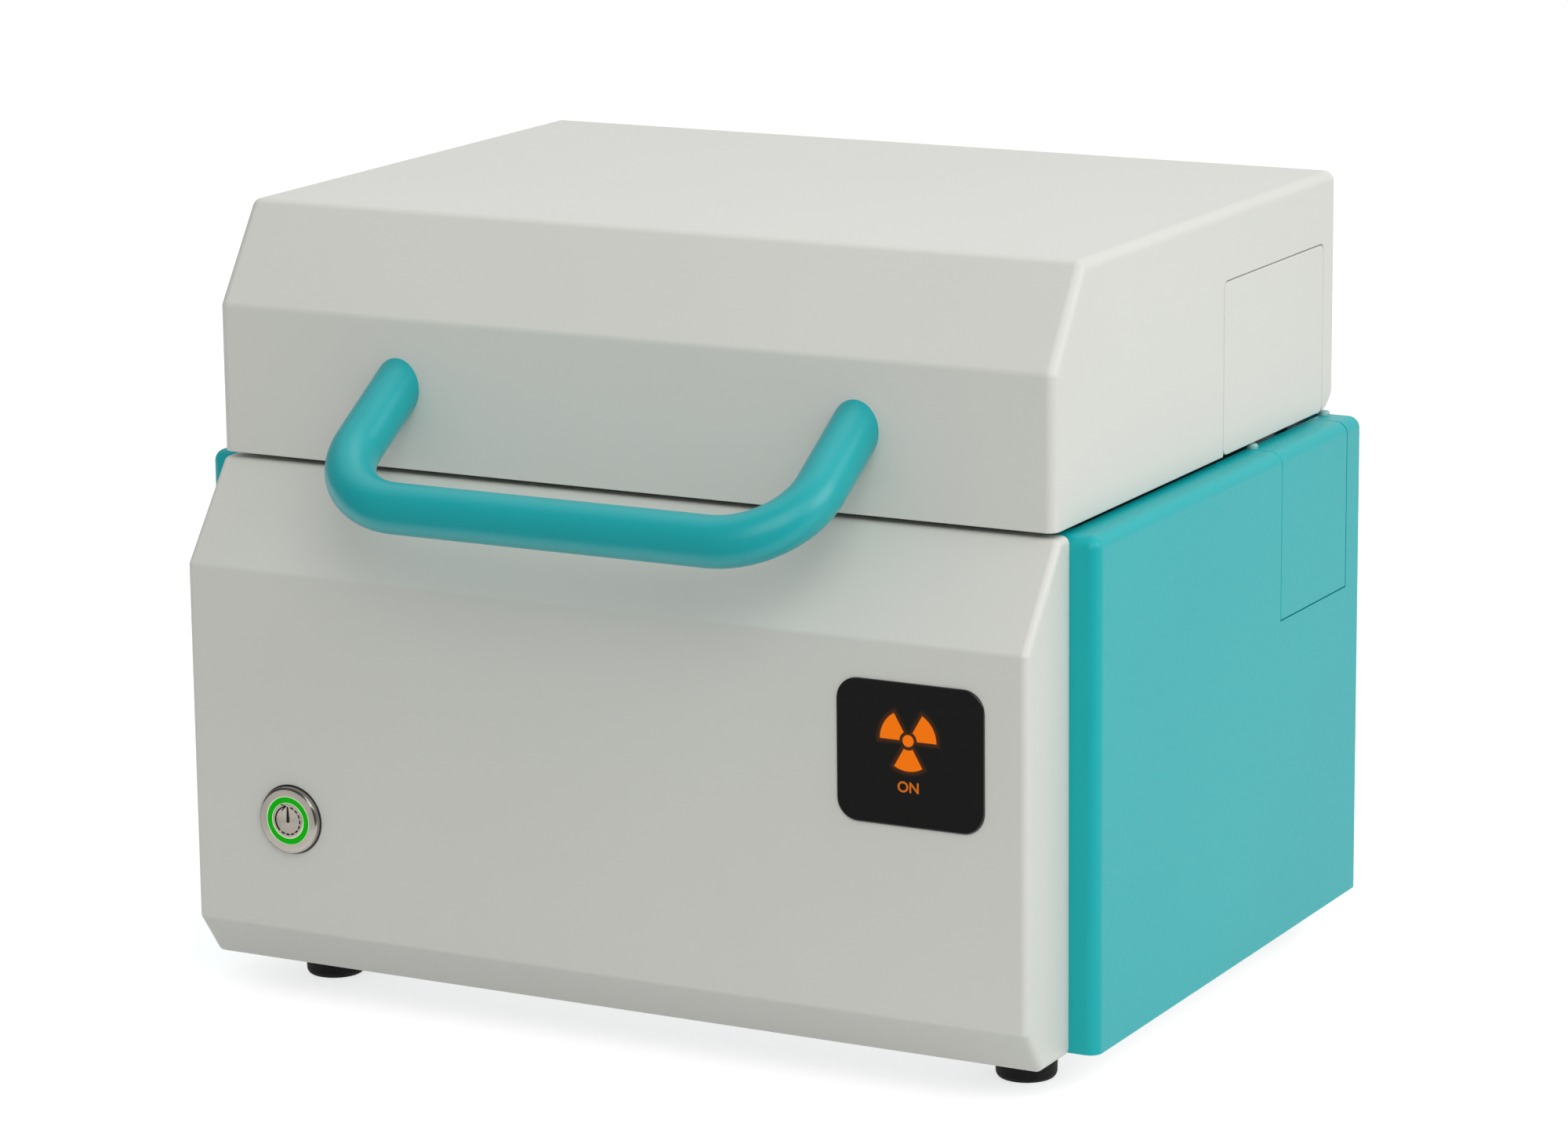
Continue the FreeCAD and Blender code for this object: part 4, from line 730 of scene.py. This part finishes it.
def make_fan():
    """Hub and skewed blades. A blade's section at radius r is the ellipse (c / 2 cos t, h sin t),
    turned by the pitch and wrapped round the hub by the angle x / r. From root to tip the pitch
    falls from 48 to 30 degrees and the chord c grows from 11.5 to 13 mm."""
    hub_radius, root, half_thick, blades, room = 12, 11.4, 0.6, 7, 0.15
    low, high = corners_of("fan_rotor")
    centre = face_of("fan_rotor", 1, 0)
    tip, length = (high[0] - low[0]) / 2 - room, high[1] - low[1]
    hub = eased([
        (0, 0.2), (11.2, 0.2), (hub_radius, 1.0), (hub_radius, length - 0.2),
        (0, length - 0.2)], (0.5, 0.4, 0.4))
    r = np.linspace(root, tip, 9)[:, None]
    pitch = np.radians(48 - 18 * (r - root) / (tip - root))
    chord = 11.5 + 1.5 * (r - root) / (tip - root)
    skew = 0.12 * (r - root) / 16
    t = np.arange(28) / 28 * TURN
    x, y = chord / 2 * np.cos(t), half_thick * np.sin(t)
    around = x * np.cos(pitch) - y * np.sin(pitch)
    along = x * np.sin(pitch) + y * np.cos(pitch)
    grids = [revolved(hub, "rear", centre, 64)]
    for blade in range(blades):
        angle = blade / blades * TURN + around / r + skew
        skin = np.stack([r * np.cos(angle), r * np.sin(angle), along + length / 2], axis=-1)
        grids.append(laid(capped(skin), "rear", centre))
    piece_of("fan_rotor_moulded", grids, NYLON, "fan_rotor", ("fan_rotor",))


# Parts on the circuit boards
# Chips of the main board, the processor first: place from its corner, width, depth and height
CHIPS = (
    (34, 44, 15, 15, 1.5), (14, 50, 8, 13, 1.1), (14, 34, 8, 13, 1.1), (50, 62, 6, 5, 1.6),
    (30, 66, 10, 6, 1.3))


def make_board_parts():
    """Chips are eased slabs, capacitors are turned cans with a crimped foot and a scored top, and
    the lamp's diodes sit in a ring and a row behind its window."""
    low, high = corners_of("main_board")
    corner = np.array((low[0], low[1], high[2]))
    piece_of("board_chips", [
        slab(rounded_rectangle(width, depth, 0.5, 4), SEAT, tall, "up", corner + (x, y, 0), 0.25)
        for x, y, width, depth, tall in CHIPS], NYLON, "base")
    processor = corner + (*CHIPS[0][:2], 0)
    out, leg_across, leg_along = 8.1, (0.5, 1.6), (1.6, 0.5)
    legs = [
        slab(rounded_rectangle(*size, 0.05, 3), SEAT, 0.35, "up", processor + (x, y, 0))
        for step in np.linspace(-6.4, 6.4, 9)
        for x, y, size in (
            (step, out, leg_across), (step, -out, leg_across),
            (out, step, leg_along), (-out, step, leg_along))]
    piece_of("board_legs", legs, ZINC, "base")
    can = eased([
        (0, 10.4), (3.0, 10.4), (3.1, 10.6), (4, 10.6), (4, 2.4), (3.6, 2.0), (4, 1.6), (4, SEAT),
        (0, SEAT)], (0.1, 0.1, 0.5, 0.3, 0.3, 0.3, 0.05))
    piece_of("board_capacitors", [
        revolved(can, "up", corner + (x, 15, 0), 40) for x in (18, 28, 38)], ALUMINIUM, "base")
    headers, header_y = (18, 44), 26.5
    piece_of("board_headers", [
        slab(rounded_rectangle(20, 6, 0.8, 4), SEAT, 6, "up", corner + (x, header_y, 0), 0.3)
        for x in headers], PRINT, "base")
    pin = rounded_rectangle(0.7, 0.7, 0.1, 3)
    piece_of("board_pins", [
        slab(pin, 5.5, 9, "up", corner + (x + step, header_y + row, 0), 0.15)
        for x in headers for step in np.linspace(-7.6, 7.6, 7) for row in (-1.27, 1.27)],
        BRASS, "base")
    posts, post_radius = corners_of("board_posts"), 3
    piece_of("board_screws", [
        screw("board", (x, y, corner[2]), "up")
        for x, y in grid_of(*posts, post_radius)], ZINC, "base")
    face, ring_radius, ring_up = face_of("lamp_board", 1, 0), 9, 5
    ring = [
        (ring_radius * math.cos(a), ring_up + ring_radius * math.sin(a))
        for a in np.arange(6) / 6 * TURN]
    piece_of("lamp_diodes", [
        slab(rounded_rectangle(3.2, 2.6, 0.4, 4), SEAT, 0.9, "front", face + (x, 0, z), 0.2)
        for x, z in (*ring, (-8, -13), (0, -13), (8, -13))], PRINT, "base")


# Fittings of the two supplies
def make_supplies():
    """Cover, screws and turned gland of the high-voltage box; pressed ribs and terminal block of
    the power supply."""
    cover, gland_drop = 1.4, 15
    box_right = corners_of("tube_generator")[1][0]
    top = face_of("tube_generator", 2, 1)
    piece_of("generator_cover", [
        slab(rounded_rectangle(43, 81, 4), SEAT, cover, "up", top, 0.5)], ABS, "base")
    piece_of("generator_screws", [
        screw("generator", top + (x, y, cover), "up") for x in (-17, 17) for y in (-36, 36)],
        ZINC, "base")
    gland = eased([
        (0, 8.6), (2.2, 8.6), (2.9, 7.4), (4.0, 3.2), (6.4, 2.8), (6.4, SEAT), (0, SEAT)],
        (0.3, 0.5, 0.8, 0.3, 0.05))
    piece_of("generator_gland", [
        revolved(gland, "right", (box_right, top[1], top[2] - gland_drop), 40)], RUBBER, "base")

    front = corners_of("power_supply")[0][1]
    top = face_of("power_supply", 2, 1)
    piece_of("supply_ribs", [
        slab(rounded_rectangle(2.4, 42, 1.2), SEAT, 0.8, "up", top + (x, 8, 0), 0.6)
        for x in np.linspace(-32, 32, 9)], ZINC, "base")
    terminals, block_height = 7, 6
    block = np.array((top[0], front + 7, top[2]))
    walls = [
        slab(rounded_rectangle(1.2, 10, 0.3, 4), SEAT, 9, "up", block + (x, 0, 0), 0.2)
        for x in np.linspace(-29, 29, terminals + 1)]
    piece_of("supply_terminals", [
        slab(rounded_rectangle(60, 9, 0.8, 4), SEAT, block_height, "up", block, 0.3), *walls],
        NYLON, "base")
    piece_of("supply_screws", [
        screw("terminal", block + (x, 0, block_height), "up")
        for x in np.linspace(-24.86, 24.86, terminals)], BRASS, "base")


# Construction nodes that keep their form: material, body, broken edge and room to turn
CARRIED = {
    "front_fascia": (WHITE, "base", 0.3),
    "rear_housing": (TEAL, "base", 0.3),
    "lid_shell": (WHITE, "lid", 0.3),
    "lid_side_cover_left": (WHITE, "lid", 0.25),
    "lid_side_cover_right": (WHITE, "lid", 0.25),
    "hinge_cover_left": (TEAL, "base", 0.25),
    "hinge_cover_right": (TEAL, "base", 0.25),
    "lid_gasket": (FOAM, "lid", 0.5),
    "base_plate": (ZINC, "base", 0.3),
    "deck_plate": (STAINLESS, "base", 0.3),
    "chamber_liner": (BLASTED, "lid", 0.3),
    "hinge_arm_left": (ZINC, "lid", 0.3),
    "hinge_arm_right": (ZINC, "lid", 0.3),
    "hinge_bracket_left": (ZINC, "base", 0.3),
    "hinge_bracket_right": (ZINC, "base", 0.3),
    "hinge_pins": (STAINLESS, "base", 0.4),
    "interlock_magnets": (ZINC, "lid", 0.3),
    "interlock_sensors": (NYLON, "base", 0.4),
    "sample_seat": (ALUMINIUM, "base", 0.5),
    "window_film": (FILM, "base", 0.0),
    "measuring_head": (ALUMINIUM, "base", 0.5),
    "tube_mount": (ALUMINIUM, "base", 0.4),
    "xray_tube": (STAINLESS, "base", 0.6),
    "filter_wheel": (ALUMINIUM, "filter_wheel", 0.2, 0.06),
    "filter_motor": (ZINC, "base", 0.5),
    "detector": (STAINLESS, "base", 0.5),
    "tube_generator": (ABS, "base", 1.2),
    "power_supply": (ZINC, "base", 0.4),
    "main_board": (BOARD, "base", 0.1),
    "board_posts": (BRASS, "base", 0.3),
    "lamp_housing": (NYLON, "base", 0.3),
    "lamp_board": (BOARD, "base", 0.1),
    "connector_panel": (ZINC, "base", 0.25),
    "mains_inlet": (NYLON, "base", 0.3),
    "switch_frame": (NYLON, "base", 0.3),
    "switch_rocker": (NYLON, "rocker", 0.4),
    "usb_port": (ZINC, "base", 0.1),
    "network_port": (ZINC, "base", 0.1),
    "fan_frame": (NYLON, "base", 0.3),
}

for node_name, row in CARRIED.items():
    dressed(node_name, *row)
make_handle()
button_face = face_of("button_bezel", 1, 0)
make_bezel(button_face)
make_light_ring(button_face)
make_cap(button_face)
make_lamp()
make_feet()
make_fasteners()
make_rocker_marks()
make_ports()
make_fan()
make_board_parts()
make_supplies()


# Light, floor and camera
# Area lamps: place and side in metres, and power in watts. They all face one point
SOFTBOXES = {
    "front_softbox": ((0.83, -1.17, 1.21), 1.2, 8.4),
    "right_softbox": ((1.53, 0.0, 1.07), 0.9, 8.3),
    "overhead_softbox": ((0.0, 0.54, 1.84), 1.0, 3.0),
}
LIT_POINT = (0, 0, 0.13)
# Paper's reflectance, and its own glow where it is seen directly
PAPER, PAPER_GLOW = 0.68, 0.68
# Edges of the paper in metres. It starts just past the handle, so that the front mirrors the
# room and not the paper
FLOOR_FRONT, FLOOR_REAR, FLOOR_SIDE = -0.27, 4, 4


def softbox(name, place, size, power):
    """Square area lamp of `size` metres at a place, facing the lit point."""
    lamp = bpy.data.lights.new(name, "AREA")
    lamp.shape, lamp.size, lamp.energy = "SQUARE", size, power
    holder = bpy.data.objects.new(name, lamp)
    bpy.context.scene.collection.objects.link(holder)
    back = np.array(place) - np.array(LIT_POINT)
    back /= np.linalg.norm(back)
    right = np.cross((0, 0, 1), back)
    right /= np.linalg.norm(right)
    holder.matrix_world = Matrix.Translation(place) @ Matrix(
        np.stack([right, np.cross(back, right), back], axis=1).tolist()).to_4x4()


def seen_directly(tree):
    """1 for rays that the camera, gloss or glass sends out, and 0 for diffuse light."""
    path = add(tree, "ShaderNodeLightPath")
    seen = add(tree, "ShaderNodeMath", {
        0: path.outputs["Is Camera Ray"], 1: path.outputs["Is Glossy Ray"]}, operation="MAXIMUM")
    seen = add(tree, "ShaderNodeMath", {
        0: seen.outputs["Value"], 1: path.outputs["Is Transmission Ray"]}, operation="MAXIMUM")
    return path, seen.outputs["Value"]


def make_sky():
    """Even dome at half strength. The camera and glass see it plain white; gloss sees it dim
    towards the unlit room in front of the table and on the left."""
    world = bpy.data.worlds.new("studio")
    bpy.context.scene.world = world
    world.use_nodes = True
    tree = world.node_tree
    tree.nodes.clear()
    path, seen = seen_directly(tree)
    strength = add(tree, "ShaderNodeMapRange", {"Value": seen, "To Min": 0.5, "To Max": 1.0})
    direction = add(tree, "ShaderNodeTexCoord").outputs["Generated"]
    away = add(tree, "ShaderNodeSeparateXYZ", {"Vector": direction})
    front = add(tree, "ShaderNodeMapRange", {
        "Value": away.outputs["Y"], "From Min": -0.45, "From Max": 0.15, "To Min": 0.16,
        "To Max": 1.0}, interpolation_type="SMOOTHSTEP")
    left = add(tree, "ShaderNodeMapRange", {
        "Value": away.outputs["X"], "From Min": -0.9, "From Max": -0.5, "To Min": 0.25,
        "To Max": 1.0}, interpolation_type="SMOOTHSTEP")
    dim = add(tree, "ShaderNodeMath", {
        0: front.outputs["Result"], 1: left.outputs["Result"]}, operation="MULTIPLY")
    gloss = add(tree, "ShaderNodeMix", {
        0: path.outputs["Is Glossy Ray"], 2: strength.outputs["Result"],
        3: dim.outputs["Value"]}, data_type="FLOAT")
    sky = add(tree, "ShaderNodeBackground", {
        "Color": (1, 1, 1, 1), "Strength": gloss.outputs[0]})
    add(tree, "ShaderNodeOutputWorld", {"Surface": sky.outputs["Background"]})


def make_floor():
    """White paper that keeps the shadow. It is clear from below, so the underside can be seen."""
    material = bpy.data.materials.new("white_paper_sweep")
    material.use_nodes = True
    tree = material.node_tree
    tree.nodes.clear()
    seen = seen_directly(tree)[1]
    strength = add(tree, "ShaderNodeMapRange", {
        "Value": seen, "To Min": 0.0, "To Max": PAPER_GLOW})
    paper = add(tree, "ShaderNodeBsdfDiffuse", {"Color": (PAPER, PAPER, PAPER, 1)})
    glow = add(tree, "ShaderNodeEmission", {
        "Color": (1, 1, 1, 1), "Strength": strength.outputs["Result"]})
    both = add(tree, "ShaderNodeAddShader", {
        0: paper.outputs["BSDF"], 1: glow.outputs["Emission"]})
    below = add(tree, "ShaderNodeNewGeometry").outputs["Backfacing"]
    clear = add(tree, "ShaderNodeBsdfTransparent")
    sheet = add(tree, "ShaderNodeMixShader", {
        0: below, 1: both.outputs["Shader"], 2: clear.outputs["BSDF"]})
    add(tree, "ShaderNodeOutputMaterial", {"Surface": sheet.outputs["Shader"]})
    mesh = bpy.data.meshes.new("floor")
    mesh.from_pydata([
        (-FLOOR_SIDE, FLOOR_FRONT, 0), (FLOOR_SIDE, FLOOR_FRONT, 0), (FLOOR_SIDE, FLOOR_REAR, 0),
        (-FLOOR_SIDE, FLOOR_REAR, 0)], [], [(0, 1, 2, 3)])
    mesh.materials.append(material)
    floor = bpy.data.objects.new("floor", mesh)
    bpy.context.scene.collection.objects.link(floor)


def place_camera():
    """Camera solved from the photograph: azimuth, elevation and roll about its own axis, in
    degrees, then its place in metres and its focal length in millimetres."""
    azimuth, elevation, roll = (math.radians(angle) for angle in (27.937, 12.799, -0.591))
    place, focal = (0.8194, -1.5216, 0.5274), 126.318
    back = np.array((
        math.sin(azimuth) * math.cos(elevation), -math.cos(azimuth) * math.cos(elevation),
        math.sin(elevation)))
    right = np.cross(-back, (0, 0, 1))
    right /= np.linalg.norm(right)
    up = np.cross(right, -back)
    turned_right = math.cos(roll) * right + math.sin(roll) * up
    turned_up = math.cos(roll) * up - math.sin(roll) * right
    lens = bpy.data.cameras.new("camera")
    lens.sensor_fit, lens.sensor_width, lens.lens = "HORIZONTAL", 36.0, focal
    lens.clip_start, lens.clip_end = 0.05, 30.0
    holder = bpy.data.objects.new("camera", lens)
    bpy.context.scene.collection.objects.link(holder)
    holder.matrix_world = Matrix.Translation(place) @ Matrix(
        np.stack([turned_right, turned_up, back], axis=1).tolist()).to_4x4()
    bpy.context.scene.camera = holder


make_sky()
for lamp_name, lamp_row in SOFTBOXES.items():
    softbox(lamp_name, *lamp_row)
make_floor()
place_camera()
bpy.context.scene.view_settings.view_transform = "Standard"
